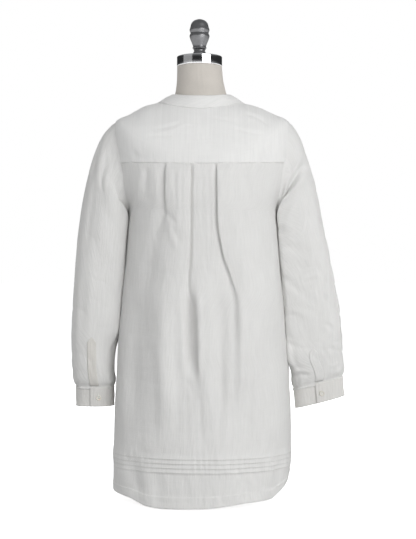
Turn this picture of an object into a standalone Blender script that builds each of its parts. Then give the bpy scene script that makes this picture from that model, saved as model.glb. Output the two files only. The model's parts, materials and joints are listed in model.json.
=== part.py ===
"""A white linen smock with long sleeves and a band collar, worn by a limbless dress form.

The garment's back faces -Y, its front +Y, and the wearer's left is -X.
Sizes in the tables are millimetres, and the meshes are in metres.
An angle round the body or a sleeve is in degrees from the middle of the back, positive towards +X.
A level names a line round the body by its height at the middle of the back.
"""

import math
from collections import namedtuple

import bpy
from mathutils import Vector

MM = 0.001
SEAM_GAP = 0.4
CLOTH = 1.2
DOUBLE_CLOTH = 1.7
SIDE_SEAM = 90.0
CENTRE_FRONT = 180.0

# Levels of the garment
NECK_LEVEL = 828.0
YOKE_LEVEL = 708.0
ARMPIT_LEVEL = 612.0
HEM_FRONT = 24.0

Level = namedtuple("Level", "level side front half_width back_depth front_depth power shift")
LEVELS = (
    Level(828, 847, 800, 89, 70, 72, 2.00, 1.0),
    Level(810, 840, 784, 117, 84, 86, 2.05, 2.0),
    Level(782, 823, 760, 152, 101, 99, 2.15, 3.5),
    Level(740, 806, 728, 184, 119, 110, 2.30, 5.0),
    Level(726, 782, 716, 190, 124, 114, 2.32, 5.2),
    Level(708, 716, 700, 186, 128, 117, 2.35, 5.5),
    Level(660, 660, 660, 178, 133, 123, 2.30, 5.0),
    Level(612, 612, 612, 160, 135, 126, 2.30, 5.0),
    Level(540, 540, 540, 164, 135, 126, 2.30, 6.0),
    Level(425, 425, 425, 174, 138, 128, 2.30, 6.0),
    Level(330, 330, 330, 180, 142, 133, 2.30, 5.0),
    Level(187, 187, 187, 188, 149, 141, 2.30, 6.5),
    Level(90, 90, 90, 190, 154, 146, 2.30, 5.0),
    Level(0, 0, 0, 188, 155, 147, 2.30, 3.0),
)

# Height of the hem's edge round the back, by the angle from its middle
Hem = namedtuple("Hem", "angle height")
HEM = (
    Hem(-90, 24.0), Hem(-80, 23.6), Hem(-62, 22.5), Hem(-50, 19.5), Hem(-42, 13.0), Hem(-34, 6.6),
    Hem(-22, 3.2), Hem(0, 5.0), Hem(12, 9.5), Hem(27, 14.5), Hem(40, 15.5), Hem(48, 17.5),
    Hem(56, 26.0), Hem(68, 39.0), Hem(80, 52.0), Hem(90, 58.0),
)

# Edge of an armhole: turn from its top, level, and angles in from the side to the back and the front
Edge = namedtuple("Edge", "turn level back front")
ARMHOLE = (
    Edge(0, 740.0, 0.0, 0.0),
    Edge(15, 738.0, 7.0, 6.0),
    Edge(30, 733.0, 13.0, 12.0),
    Edge(45, 726.0, 18.0, 17.0),
    Edge(60, 719.0, 21.5, 21.5),
    Edge(75, 713.5, 23.5, 25.0),
    Edge(90, 708.0, 25.0, 28.0),
    Edge(105, 690.0, 26.0, 30.0),
    Edge(120, 668.0, 25.0, 29.0),
    Edge(135, 645.0, 21.0, 24.5),
    Edge(150, 627.0, 15.0, 17.0),
    Edge(165, 616.0, 8.0, 9.0),
    Edge(180, 612.0, 0.0, 0.0),
)

EdgeLevel = namedtuple("EdgeLevel", "level back front")
ARMHOLE_BY_LEVEL = [EdgeLevel(edge.level, edge.back, edge.front) for edge in ARMHOLE]

# Pleats of the back, a row for each height: place, rise across the fold, doubling, run and trough
Fold = namedtuple("Fold", "level place rise doubling run trough trough_run")
LEFT_PLEAT_OUTER = (
    Fold(708, -66, 5.2, 7.5, 12, 0.0, 14),
    Fold(660, -66, 7.8, 7.5, 12, 0.0, 14),
    Fold(612, -67, 7.2, 4.4, 12, 2.0, 16),
    Fold(570, -74, 5.4, 0.9, 14, 4.0, 20),
    Fold(500, -86, 4.2, 0.0, 15, 6.5, 24),
    Fold(400, -99, 3.0, 0.0, 16, 7.0, 26),
    Fold(300, -102, 1.8, 0.0, 18, 6.0, 28),
    Fold(150, -110, 0.0, 0.0, 18, 3.0, 30),
    Fold(0, -116, 0.0, 0.0, 18, 1.0, 32),
)
LEFT_PLEAT_INNER = (
    Fold(708, -22, -5.2, 7.5, 12, 0.0, 12),
    Fold(600, -22, -7.8, 7.5, 12, 0.0, 12),
    Fold(520, -24, -7.8, 7.0, 12, 0.5, 14),
    Fold(460, -30, -6.0, 4.4, 13, 3.5, 16),
    Fold(400, -26, -3.0, 0.4, 15, 8.0, 20),
    Fold(300, -16, -1.2, 0.0, 18, 7.5, 24),
    Fold(200, -9, 0.0, 0.0, 18, 4.0, 28),
    Fold(100, 2, 0.0, 0.0, 18, 1.5, 30),
    Fold(0, 2, 0.0, 0.0, 18, 0.0, 30),
)
RIGHT_PLEAT_INNER = (
    Fold(708, 38, 5.2, 7.5, 12, 0.0, 12),
    Fold(600, 39, 7.8, 7.5, 12, 0.0, 12),
    Fold(525, 49, 7.8, 7.0, 12, 0.5, 14),
    Fold(470, 66, 7.4, 4.8, 12, 3.5, 18),
    Fold(410, 80, 7.0, 0.4, 12, 7.5, 22),
    Fold(320, 82, 4.8, 0.0, 13, 8.0, 26),
    Fold(220, 82, 2.0, 0.0, 16, 5.0, 30),
    Fold(120, 88, 0.0, 0.0, 18, 2.0, 32),
    Fold(0, 90, 0.0, 0.0, 18, 0.0, 32),
)
PLEATS = (LEFT_PLEAT_OUTER, LEFT_PLEAT_INNER, RIGHT_PLEAT_INNER)
PLEAT_STEPS = 6
FLAT_STEPS = (6, 3, 2, 8)
RIGHT_FADE = 58.0
PLEAT_SINK = 2.6
SINK_RUN = 26.0

# Angle over which folds and waves fade towards a seam
SEAM_FADE = 20.0

# Slight waves of the skirt
WAVE_DEPTH = 3.0
WAVE_COUNT = 5.0
WAVE_TURN = 40.0
WAVE_TOP = 420.0

# Four tucks above the hem, raised in the outer face
TUCKS = 4
TOP_TUCK_EDGE = 104.5
TUCK_PITCH = 9.2
TUCK_RISE = 1.5
TUCK_STEP = 0.8
TUCK_END = TOP_TUCK_EDGE - (TUCKS - 1) * TUCK_PITCH - TUCK_STEP

# Rows of the panels between the armpit and the tucks, and their shares of the last stretch above the hem
LOWER_LEVELS = (582, 554, 528, 502, 476, 448, 412, 368, 318, 268, 218, 172, 132)
HEM_SHARES = (0.62, 0.28, 0.0)
HEM_CORNER = 5
FRONT_STEPS = 7
FRONT_NECK_LEVELS = (805, 780, 756)

# Sleeves, a row for each ring: along the sleeve, its outer and inner line, half depth and set forward
Ring = namedtuple("Ring", "along outer outer_z inner inner_z half_depth forward power")
LEFT_SLEEVE = (
    Ring(0, 179, 806, 156, 612, 65, 0, 2.0),
    Ring(16, 191, 797, 159, 606, 65, 0, 2.0),
    Ring(36, 204, 783, 161, 597, 65, 0, 2.0),
    Ring(62, 216, 763, 161, 585, 64, 0, 2.1),
    Ring(100, 229, 731, 161, 568, 63, 1, 2.2),
    Ring(150, 241, 686, 163, 545, 61, 2, 2.2),
    Ring(230, 256, 608, 165, 508, 59, 3, 2.2),
    Ring(320, 267, 516, 170, 455, 56, 4, 2.2),
    Ring(420, 274, 412, 177, 385, 53, 5, 2.2),
    Ring(490, 277, 342, 181, 330, 51, 5, 2.2),
    Ring(545, 276, 285, 184, 282, 48, 5, 2.2),
    Ring(572, 273, 258, 185, 258, 42, 4, 2.2),
    Ring(590, 267, 241, 185, 242, 34, 3, 2.2),
)
RIGHT_SLEEVE = (
    Ring(0, 189, 806, 166, 612, 65, 0, 2.0),
    Ring(16, 199, 796, 169, 606, 65, 0, 2.0),
    Ring(36, 209, 781, 171, 597, 65, 0, 2.0),
    Ring(62, 219, 761, 171, 585, 64, 0, 2.1),
    Ring(100, 230, 729, 173, 568, 63, 0, 2.2),
    Ring(150, 243, 686, 175, 545, 61, 0, 2.2),
    Ring(230, 259, 606, 178, 508, 58, -1, 2.2),
    Ring(320, 281, 512, 184, 455, 53, -2, 2.2),
    Ring(420, 300, 405, 189, 380, 47, -3, 2.2),
    Ring(490, 307, 342, 192, 322, 42, -4, 2.2),
    Ring(545, 308, 300, 196, 276, 36, -5, 2.2),
    Ring(572, 307, 280, 199, 255, 31, -5, 2.2),
    Ring(590, 306, 263, 200, 237, 25, -5, 2.2),
)
LEFT_CUFF = (
    Ring(0, 266.5, 240.0, 185.0, 240.0, 33, 3, 2.2),
    Ring(42, 266.0, 198.5, 185.0, 198.5, 32, 2, 2.2),
)
RIGHT_CUFF = (
    Ring(0, 306.5, 262.1, 200.5, 236.1, 24, -5, 2.2),
    Ring(42, 309.5, 220.5, 205.0, 193.5, 23, -6, 2.2),
)
SLEEVES = {"left": LEFT_SLEEVE, "right": RIGHT_SLEEVE}
CUFFS = {"left": LEFT_CUFF, "right": RIGHT_CUFF}
SLEEVE_STATIONS = (0, 12, 30, 56, 90, 135, 190, 250, 315, 380, 440, 490, 528, 552, 570, 590)
SLEEVE_COLUMNS = 24
ARMHOLE_BLEND = 90.0
SLEEVE_GAP = 0.9
SLEEVE_UNDER = 1.6
GATHERS = 8
GATHER_DEPTH = 1.8
GATHER_RUN = 60.0
CUFF_COLUMNS = 24
CUFF_OVERLAP = 34.0
CUFF_LAP_FADE = 40.0
CUFF_LAP_RISE = 1.2

# Where each cuff laps, as an angle round the sleeve, and how far past that edge its button sits
LAP_EDGE = {"left": -9.0, "right": -8.0}
BUTTON_PAST_EDGE = {"left": 18.0, "right": 13.0}
BUTTON_DOWN_CUFF = 0.55

# Sleeve plackets: the angles between which the gathers fade lie either side of PLACKET_TURN
SLEEVE_PLACKET_WIDTH = 19.0
SLEEVE_PLACKET_LIFT = 1.7
SLEEVE_PLACKET_TOP = {"left": 478.0, "right": 500.0}
SLEEVE_PLACKET_END = 1.5
PLACKET_POINT = 12.0
PLACKET_POINT_SHARE = 0.15
PLACKET_TURN = 12.0
PLACKET_FADE = 20.0

# Collar band
COLLAR_TOP = Level(855.5, 864, 828, 64, 59, 62, 2.0, 3.0)
COLLAR_LIFT = 1.5
COLLAR_COLUMNS = 28
COLLAR_LAP = 8.0
COLLAR_LAP_FADE = 24.0
COLLAR_LAP_RISE = 1.4
COLLAR_BOW = 1.5

# Front opening
PLACKET_WIDTH = 28.0
PLACKET_LIFT = 2.0
PLACKET_BOTTOM = 560.0
PLACKET_LEVELS = (826, 805, 780, 756, 733, 708, 668, 627, 590, PLACKET_BOTTOM)
STRIP_SHARES = (-1.0, -0.5, 0.0, 0.5, 1.0)
SLIT_BOTTOM = 580.0
SLIT_HALF = 0.5
FRONT_BUTTONS = 4
FIRST_BUTTON_LEVEL = 798.0
LAST_BUTTON_LEVEL = 600.0

# Half outline of a dished button: radius, height
BUTTON_OUTLINE = ((0.0, 1.6), (3.8, 1.6), (4.8, 2.2), (5.8, 1.7), (4.8, 0.0), (0.0, 0.0))
BUTTON_GAP = 0.35

# Yoke: its front seam lies just in front of the shoulder line
YOKE_FRONT_NECK = 112.0
YOKE_FRONT_TURN = 30.0
YOKE_SEAM_STEPS = 7
YOKE_ARMHOLE_STEPS = 8
YOKE_CORNER_SHARE = YOKE_SEAM_STEPS / (YOKE_SEAM_STEPS + YOKE_ARMHOLE_STEPS)
YOKE_ROWS = 6
YOKE_LIFT = 0.6

# Dress form: its upper rows follow the yoke and front, each with how much further in it lies
FORM_GAP = 1.0
FORM_COLUMNS = 28
FORM_BASE_Z = 97.0
FORM_UPPER = ((824, 0.3), (810, 0.0), (794, 0.0), (774, 0.5), (752, 2.0), (734, 5.0), (712, 8.0))
FORM_FRONT_INSET = 2.5
FORM_LOWER = (
    Level(672, 672, 672, 156, 116, 110, 2.2, 4.0),
    Level(620, 620, 620, 146, 116, 115, 2.2, 4.0),
    Level(540, 540, 540, 132, 104, 108, 2.1, 3.5),
    Level(450, 450, 450, 119, 92, 94, 2.1, 3.0),
    Level(370, 370, 370, 130, 96, 98, 2.1, 3.0),
    Level(280, 280, 280, 150, 108, 104, 2.1, 3.0),
    Level(200, 200, 200, 156, 114, 106, 2.1, 3.0),
    Level(FORM_BASE_Z, FORM_BASE_Z, FORM_BASE_Z, 148, 110, 102, 2.1, 3.0),
)
FORM_NECK = (
    Level(926, 926, 926, 48, 48, 48, 2.0, -1.0),
    Level(900, 900, 900, 49.5, 49, 49, 2.0, 0.0),
    Level(872, 872, 872, 54, 52, 52, 2.0, 1.5),
    Level(850, 858, 836, 59, 55, 55, 2.0, 2.0),
    Level(834, 852, 808, 74, 62, 61, 2.0, 1.5),
)
FORM_SHARP_ANGLE = 60.0

# Fittings of the form
PART_GAP = 0.3
NECK_SHIFT = -1.0
RING_TOP = 947.0
RING_RADIUS = 48.4
RING_WALL = 1.6
RING_BEVEL = 0.5
CAP_RECESS = 1.0
DISC_RADIUS = 92.0
DISC_TOP = FORM_BASE_Z - PART_GAP
DISC_BOTTOM = 85.0
PLATE_RADIUS = 105.0
PLATE_HEIGHT = 12.0
COLUMN_RADIUS = 15.0
EDGE_BEVEL = 2.0

# Outline of the finial: height above its foot, radius
FINIAL = (
    (0.0, 15.2), (5.0, 14.6), (9.5, 13.7), (12.0, 12.2), (14.8, 11.9), (17.0, 13.6), (19.8, 15.1),
    (22.5, 14.0), (28.0, 15.6), (34.0, 18.0), (40.0, 20.3), (45.7, 21.5), (48.7, 20.5), (51.5, 19.4),
    (54.7, 20.5), (58.6, 21.5), (61.8, 20.7), (64.4, 19.8), (71.0, 18.2), (75.5, 15.4), (79.0, 11.0),
    (81.2, 5.0),
)
FINIAL_TOP = 82.0

# Colour, roughness, metal
LINEN = ("linen", (0.86, 0.85, 0.83), 0.85, 0.0)
SHELL_BUTTON = ("button", (0.82, 0.78, 0.68), 0.35, 0.0)
FORM_CLOTH = ("form_cloth", (0.60, 0.56, 0.51), 0.90, 0.0)
BRIGHT_METAL = ("bright_metal", (0.75, 0.75, 0.76), 0.08, 1.0)
SILVER_PAINT = ("silver_paint", (0.36, 0.36, 0.37), 0.40, 0.3)
WOOD = ("wood", (0.42, 0.29, 0.18), 0.55, 0.0)
BLACK_STEEL = ("black_steel", (0.05, 0.05, 0.05), 0.45, 0.6)


def make_material(kind):
    """A Principled material, made once for each kind."""
    name, colour, roughness, metallic = kind
    material = bpy.data.materials.get(name)
    if material:
        return material
    material = bpy.data.materials.new(name)
    material.use_nodes = True
    shader = material.node_tree.nodes["Principled BSDF"]
    shader.inputs["Base Color"].default_value = (*colour, 1.0)
    shader.inputs["Roughness"].default_value = roughness
    shader.inputs["Metallic"].default_value = metallic
    return material


def add_object(name, mesh, kind, collection, sharp_angle=40.0):
    """Put a mesh in the collection as an object with its own material, shaded smooth."""
    mesh.shade_smooth()
    mesh.set_sharp_from_angle(angle=math.radians(sharp_angle))
    mesh.materials.append(make_material(kind))
    item = bpy.data.objects.new(name, mesh)
    collection.objects.link(item)
    return item


def ease(share):
    """Smooth step from 0 to 1."""
    share = min(max(share, 0.0), 1.0)
    return share * share * (3.0 - 2.0 * share)


def signed(angle):
    """The same angle between -180 and 180."""
    return (angle + 180.0) % 360.0 - 180.0


def outward(angle):
    """Level direction away from the middle of a body or sleeve."""
    return Vector((math.sin(math.radians(angle)), -math.cos(math.radians(angle)), 0.0))


def blend(first, last, share):
    return first + (last - first) * share


def read_row(table, key):
    """Read a table of named rows at any key, smoothly and without overshoot."""
    rows = sorted(table, key=lambda row: row[0])
    key = min(max(key, rows[0][0]), rows[-1][0])
    after = next(i for i in range(1, len(rows)) if key <= rows[i][0])
    low, high = rows[after - 1], rows[after]
    span = high[0] - low[0]
    share = (key - low[0]) / span
    values = [key]
    for field in range(1, len(low)):
        rise = (high[field] - low[field]) / span
        start = end = rise
        if after > 1:
            before = rows[after - 2]
            start = joint_slope((low[field] - before[field]) / (low[0] - before[0]), rise)
        if after < len(rows) - 1:
            beyond = rows[after + 1]
            end = joint_slope(rise, (beyond[field] - high[field]) / (beyond[0] - high[0]))
        bend = share * (1.0 - share)
        hermite = bend * (1.0 - share) * start * span - bend * share * end * span
        values.append(blend(low[field], high[field], ease(share)) + hermite)
    return type(low)(*values)


def joint_slope(first, second):
    """Slope where two stretches of a table meet: their harmonic mean, or level at a peak."""
    if first * second <= 0.0:
        return 0.0
    return 2.0 * first * second / (first + second)


def section_point(row, angle):
    """Point of a rounded section at an angle from the middle of the back."""
    across = math.sin(math.radians(angle))
    back = math.cos(math.radians(angle))
    power = 2.0 / row.power
    x = row.shift + math.copysign(row.half_width * abs(across) ** power, across)
    depth = row.back_depth if back >= 0.0 else row.front_depth
    y = -math.copysign(depth * abs(back) ** power, back)
    middle_z = row.level if back >= 0.0 else row.front
    z = blend(row.side, middle_z, back * back)
    return Vector((x, y, z))


def body_point(angle, level):
    return section_point(read_row(LEVELS, level), angle)


def surface_normal(point_at, first, second, step_first=0.2, step_second=0.5):
    """Unit normal of a surface, from its two directions at a point."""
    along_first = point_at(first + step_first, second) - point_at(first - step_first, second)
    along_second = point_at(first, second + step_second) - point_at(first, second - step_second)
    return along_first.cross(along_second).normalized()


def body_normal(angle, level):
    return surface_normal(body_point, angle, level)


def lifted_point(angle, level, lift):
    return body_point(angle, level) + body_normal(angle, level) * lift


def armhole_angle(level, front=False):
    """Angle of the armhole's edge at a level, or of the side seam below it."""
    if level <= ARMPIT_LEVEL:
        return SIDE_SEAM
    row = read_row(ARMHOLE_BY_LEVEL, level)
    return SIDE_SEAM + row.front if front else SIDE_SEAM - row.back


def armhole_edge(turn):
    """Angle and level of the right armhole's edge, by the turn from its top towards the back."""
    turn = signed(turn)
    row = read_row(ARMHOLE, abs(turn))
    return (SIDE_SEAM - row.back if turn > 0.0 else SIDE_SEAM + row.front), row.level


def hem_height(angle):
    """Height of the hem: lowest at the middle of the back and highest at the right side."""
    if math.cos(math.radians(angle)) >= 0.0:
        return read_row(HEM, signed(angle)).height
    across = math.sin(math.radians(angle))
    side = HEM[-1].height if across > 0.0 else HEM[0].height
    return blend(HEM_FRONT, side, abs(across) ** HEM_CORNER)


def hem_wave(angle, level):
    """Slight waves of the skirt, none at the side seams."""
    fade = math.cos(math.radians(angle)) ** 2 * (1.0 - ease(level / WAVE_TOP))
    return WAVE_DEPTH * fade * math.sin(math.radians(WAVE_COUNT * angle + WAVE_TURN))


def tuck_lift(level):
    """Rise of the outer face over the tucks: a slope down to each edge, then a step back."""
    below = TOP_TUCK_EDGE + TUCK_PITCH - TUCK_STEP - level
    if below <= 0.0 or level < TUCK_END:
        return 0.0
    share = (below % TUCK_PITCH) / (TUCK_PITCH - TUCK_STEP)
    return TUCK_RISE * share if share <= 1.0 else 0.0


def panel_levels(top):
    """Levels of a panel's rows, from beside the armhole's points down to the last tuck."""
    levels = [top] + [edge.level for edge in ARMHOLE if edge.level < top - 1.0]
    levels += [*LOWER_LEVELS, TOP_TUCK_EDGE + TUCK_PITCH - TUCK_STEP]
    for tuck in range(TUCKS):
        edge = TOP_TUCK_EDGE - tuck * TUCK_PITCH
        levels += [edge, edge - TUCK_STEP]
    return levels


def wall_mesh(name, outer, inner, closed=False, left_out=()):
    """A wall between two grids of points in millimetres, with a rim round every open edge."""
    rows, columns = len(outer), len(outer[0])
    count = rows * columns
    last = columns if closed else columns - 1
    quads = []
    for row in range(rows - 1):
        for column in range(last):
            if (row, column) not in left_out:
                here, beside = row * columns + column, row * columns + (column + 1) % columns
                quads.append((here, here + columns, beside + columns, beside))
    edges = {(quad[side], quad[(side + 1) % 4]) for quad in quads for side in range(4)}
    rim = [(end, start, start + count, end + count) for start, end in sorted(edges)
           if (end, start) not in edges]
    back = [(a + count, d + count, c + count, b + count) for a, b, c, d in quads]
    points = [point * MM for grid in (outer, inner) for line in grid for point in line]
    mesh = bpy.data.meshes.new(name)
    mesh.from_pydata(points, [], quads + back + rim)
    mesh.validate()
    return mesh


def wall_from(name, point_at, firsts, seconds, thickness, collection, steps, closed=False):
    """A linen wall of even thickness on both sides of a surface given by a function of two values."""
    outer, inner = [], []
    for second in seconds:
        outer_row, inner_row = [], []
        for first in firsts:
            middle = point_at(first, second)
            half_wall = surface_normal(point_at, first, second, *steps) * (thickness / 2)
            outer_row.append(middle + half_wall)
            inner_row.append(middle - half_wall)
        outer.append(outer_row)
        inner.append(inner_row)
    return add_object(name, wall_mesh(name, outer, inner, closed=closed), LINEN, collection)


def angle_at(x, level):
    """Angle on the back at which the body's section reaches a place across."""
    row = read_row(LEVELS, level)
    across = (x - row.shift) / row.half_width
    across = math.copysign(min(abs(across), 0.999) ** (row.power / 2.0), across)
    return math.degrees(math.asin(across))


def pleated_columns(level):
    """Columns of the back at a level, as pairs of place across and lift out of the body's surface."""
    folds = [read_row(pleat, level) for pleat in PLEATS]
    seam = body_point(armhole_angle(level) - 0.01, level)
    left_seam = body_point(0.01 - armhole_angle(level), level)
    stops = [left_seam.x]
    for fold in folds:
        stops += [fold.place - fold.run, fold.place + fold.run]
    stops.append(seam.x)
    places, base = [], 0.0
    for stretch, steps in enumerate(FLAT_STEPS):
        start, end = stops[2 * stretch], stops[2 * stretch + 1]
        for step in range(steps + 1):
            share = step / steps
            fade = 1.0 - ease((blend(start, end, share) - start) / RIGHT_FADE) if stretch == 3 else 1.0
            places.append((blend(start, end, share), base * fade))
        if stretch < len(folds):
            fold = folds[stretch]
            for step in range(1, PLEAT_STEPS):
                turn = 2.0 * step / PLEAT_STEPS - 1.0
                across = fold.place + fold.run * turn - fold.doubling * math.sin(math.pi * turn)
                places.append((across, base + fold.rise * ease((turn + 1.0) / 2)))
            base += fold.rise
    return places, folds


def build_back_panel(collection):
    """Back below the yoke, with its pleats and tucks."""
    top = YOKE_LEVEL - SEAM_GAP / 2
    levels = panel_levels(top)
    grid = [back_row(levels, row, top) for row in range(len(levels) + len(HEM_SHARES))]
    outer, inner = [], []
    for row, line in enumerate(grid):
        above, below = grid[max(row - 1, 0)], grid[min(row + 1, len(grid) - 1)]
        outer_row, inner_row = [], []
        for column, point in enumerate(line):
            left, right = line[max(column - 1, 0)], line[min(column + 1, len(line) - 1)]
            normal = (right - left).cross(above[column] - below[column]).normalized()
            lift = tuck_lift(levels[row]) if row < len(levels) else 0.0
            outer_row.append(point + normal * (CLOTH / 2 + lift))
            inner_row.append(point - normal * (CLOTH / 2))
        outer.append(outer_row)
        inner.append(inner_row)
    mesh = wall_mesh("back_panel", outer, inner)
    return add_object("back_panel", mesh, LINEN, collection)


def back_row(levels, row, top):
    """One row of points of the pleated back."""
    hem_share = HEM_SHARES[row - len(levels)] if row >= len(levels) else None
    level = levels[row] if hem_share is None else levels[-1] * hem_share
    places, folds = pleated_columns(level)
    limit = armhole_angle(level)
    line = []
    for column, (across, lift) in enumerate(places):
        angle = angle_at(across, level)
        if column == 0:
            angle = -limit
        elif column == len(places) - 1:
            angle = limit
        elif across < places[FLAT_STEPS[0]][0]:
            angle = blend(-limit, angle_at(places[FLAT_STEPS[0]][0], level), column / FLAT_STEPS[0])
        elif column > len(places) - 1 - FLAT_STEPS[-1]:
            share = (len(places) - 1 - column) / FLAT_STEPS[-1]
            angle = blend(limit, angle_at(places[-1 - FLAT_STEPS[-1]][0], level), share)
        x = body_point(angle, level).x
        for fold in folds:
            reach = (x - fold.place) / fold.trough_run
            lift -= fold.trough * math.exp(-reach * reach)
        inside = ease((limit - abs(angle)) / SEAM_FADE)
        sink = PLEAT_SINK * ease(1.0 - (top - level) / SINK_RUN) * inside
        point = lifted_point(angle, level, (lift + hem_wave(angle, level)) * inside - sink)
        if hem_share is not None:
            point.z = blend(hem_height(angle), levels[-1], hem_share)
        line.append(point)
    return line


def front_edge(level):
    """Angle of the front panel's right edge: side seam, armhole, then the yoke's front seam."""
    seam_angle, seam_level = armhole_edge(-YOKE_FRONT_TURN)
    if level <= seam_level:
        return armhole_angle(level, front=True)
    return blend(seam_angle, YOKE_FRONT_NECK, (level - seam_level) / (NECK_LEVEL - seam_level))


def build_front_panel(collection):
    """Front with a slit down from the neck under its placket, and the same tucks."""
    seam_level = armhole_edge(-YOKE_FRONT_TURN)[1]
    levels = [NECK_LEVEL - SEAM_GAP, *FRONT_NECK_LEVELS] + panel_levels(seam_level)
    outer, inner, left_out = [], [], set()
    for row in range(len(levels) + len(HEM_SHARES)):
        hem_share = HEM_SHARES[row - len(levels)] if row >= len(levels) else None
        level = levels[row] if hem_share is None else levels[-1] * hem_share
        edge = front_edge(level)
        slit = math.degrees(SLIT_HALF / read_row(LEVELS, level).half_width)
        right = [blend(edge + seam_turn(level), CENTRE_FRONT - slit, step / FRONT_STEPS)
                 for step in range(FRONT_STEPS + 1)]
        outer_row, inner_row = [], []
        for angle in right + [360.0 - angle for angle in reversed(right)]:
            inside = ease((min(angle, 360.0 - angle) - edge) / SEAM_FADE)
            point = lifted_point(angle, level, hem_wave(angle, level) * inside)
            if hem_share is not None:
                point.z = blend(hem_height(angle), levels[-1], hem_share)
            normal = body_normal(angle, level)
            lift = tuck_lift(level) if hem_share is None else 0.0
            outer_row.append(point + normal * (CLOTH / 2 + lift))
            inner_row.append(point - normal * (CLOTH / 2))
        outer.append(outer_row)
        inner.append(inner_row)
        if level > SLIT_BOTTOM:
            left_out.add((row, FRONT_STEPS))
    mesh = wall_mesh("front_panel", outer, inner, left_out=left_out)
    return add_object("front_panel", mesh, LINEN, collection)


def seam_turn(level):
    """Angle that parts the front from its neighbour along a seam."""
    return math.degrees(SEAM_GAP / read_row(LEVELS, level).front_depth)


def yoke_point(across, up):
    """Point of the yoke: across runs from -1 to 1 between its front seams, up from 0 to 1 at the neck."""
    share = abs(across)
    corner_turn = next(edge.turn for edge in ARMHOLE if edge.level <= YOKE_LEVEL)
    if share < YOKE_CORNER_SHARE:
        low_level = YOKE_LEVEL + SEAM_GAP / 2
        low_angle = armhole_edge(corner_turn)[0] * share / YOKE_CORNER_SHARE
    else:
        past = (share - YOKE_CORNER_SHARE) / (1.0 - YOKE_CORNER_SHARE)
        low_angle, low_level = armhole_edge(blend(corner_turn, -YOKE_FRONT_TURN, past))
    neck_angle = YOKE_FRONT_NECK * share
    angle = blend(low_angle, neck_angle, up)
    level = blend(low_level, NECK_LEVEL - SEAM_GAP, up)
    return lifted_point(math.copysign(angle, across), level, YOKE_LIFT)


def build_yoke(collection):
    """Back yoke, over both shoulders to a seam just in front of them."""
    half_steps = YOKE_SEAM_STEPS + YOKE_ARMHOLE_STEPS
    across = [step / half_steps for step in range(-half_steps, half_steps + 1)]
    up = [1.0 - row / YOKE_ROWS for row in range(YOKE_ROWS + 1)]
    return wall_from("back_yoke", yoke_point, across, up, DOUBLE_CLOTH, collection, (0.002, 0.01))


def collar_point(angle, up):
    """Point of the collar band, whose ends lap at the middle of the front."""
    low = body_point(angle, NECK_LEVEL)
    high = section_point(COLLAR_TOP, angle)
    low.z += COLLAR_LIFT
    past = CENTRE_FRONT + COLLAR_LAP / 2 - abs(angle)
    aside = COLLAR_LAP_RISE * (1.0 - ease(past / COLLAR_LAP_FADE)) * math.copysign(1.0, angle)
    bow = COLLAR_BOW * math.sin(math.pi * up)
    return low.lerp(high, up) + outward(angle) * (aside + bow)


def build_collar(collection):
    reach = CENTRE_FRONT + COLLAR_LAP / 2
    angles = [blend(-reach, reach, step / COLLAR_COLUMNS) for step in range(COLLAR_COLUMNS + 1)]
    up = [1.0, 0.5, 0.0]
    return wall_from("collar_band", collar_point, angles, up, DOUBLE_CLOTH, collection, (0.2, 0.01))


def tube_point(row, side, angle):
    """Point of a sleeve's ring, whose plane holds its outer and inner line."""
    hand = 1.0 if side == "right" else -1.0
    outer = Vector((hand * row.outer, row.forward, row.outer_z))
    inner = Vector((hand * row.inner, row.forward, row.inner_z))
    across = math.sin(math.radians(angle)) * hand
    back = math.cos(math.radians(angle))
    power = 2.0 / row.power
    reach = math.copysign(abs(across) ** power, across)
    depth = math.copysign(abs(back) ** power, back) * row.half_depth
    return (outer + inner) / 2 + (outer - inner) / 2 * reach - Vector((0.0, depth, 0.0))


def armhole_ring_point(side, angle):
    """Point just outside the armhole's edge, at an angle round the sleeve."""
    hand = 1.0 if side == "right" else -1.0
    turn = 90.0 - angle if side == "right" else angle + 90.0

    def edge_point(at_turn, lift):
        edge_angle, level = armhole_edge(at_turn)
        return lifted_point(hand * edge_angle, level, lift)

    point = edge_point(turn, 0.0)
    normal = edge_point(turn, 1.0) - point
    along = edge_point(turn + 1.0, 0.0) - edge_point(turn - 1.0, 0.0)
    into_hole = normal.cross(along).normalized() * hand
    below = (1.0 - math.cos(math.radians(turn))) / 2
    return point + into_hole * SLEEVE_GAP + normal * SLEEVE_UNDER * below * below


def sleeve_point(side, angle, along):
    """Point of a sleeve, from the armhole's edge to the gathers at the cuff."""
    table = SLEEVES[side]
    point = tube_point(read_row(table, along), side, angle)
    from_edge = 1.0 - ease(along / ARMHOLE_BLEND)
    if from_edge > 0.0:
        start = tube_point(table[0], side, angle)
        point += (armhole_ring_point(side, angle) - start) * from_edge
    gather = ease(1.0 - (table[-1].along - along) / GATHER_RUN)
    gather *= ease(abs(signed(angle - LAP_EDGE[side] - PLACKET_TURN)) / PLACKET_FADE - 1.0)
    return point + outward(angle) * (math.cos(math.radians(GATHERS * angle)) * GATHER_DEPTH * gather)


def ring_angles(columns):
    return [360.0 * step / columns for step in range(columns)]


def build_sleeve(side, collection):
    """Sleeve from the armhole to its cuff, open at both ends."""
    return wall_from(f"sleeve_{side}", lambda angle, along: sleeve_point(side, angle, along),
                     ring_angles(SLEEVE_COLUMNS), SLEEVE_STATIONS, CLOTH, collection,
                     (0.2, -0.4), closed=True)


def cuff_point(side, angle, along):
    """Point of a cuff, which runs once round and laps over itself at the back."""
    start = LAP_EDGE[side]
    point = tube_point(read_row(CUFFS[side], along), side, angle)
    over = 1.0 - ease((angle - start - CUFF_OVERLAP) / CUFF_LAP_FADE)
    under = 1.0 - ease((start + 360.0 - angle) / CUFF_LAP_FADE)
    return point + outward(angle) * CUFF_LAP_RISE * (over - under)


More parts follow.
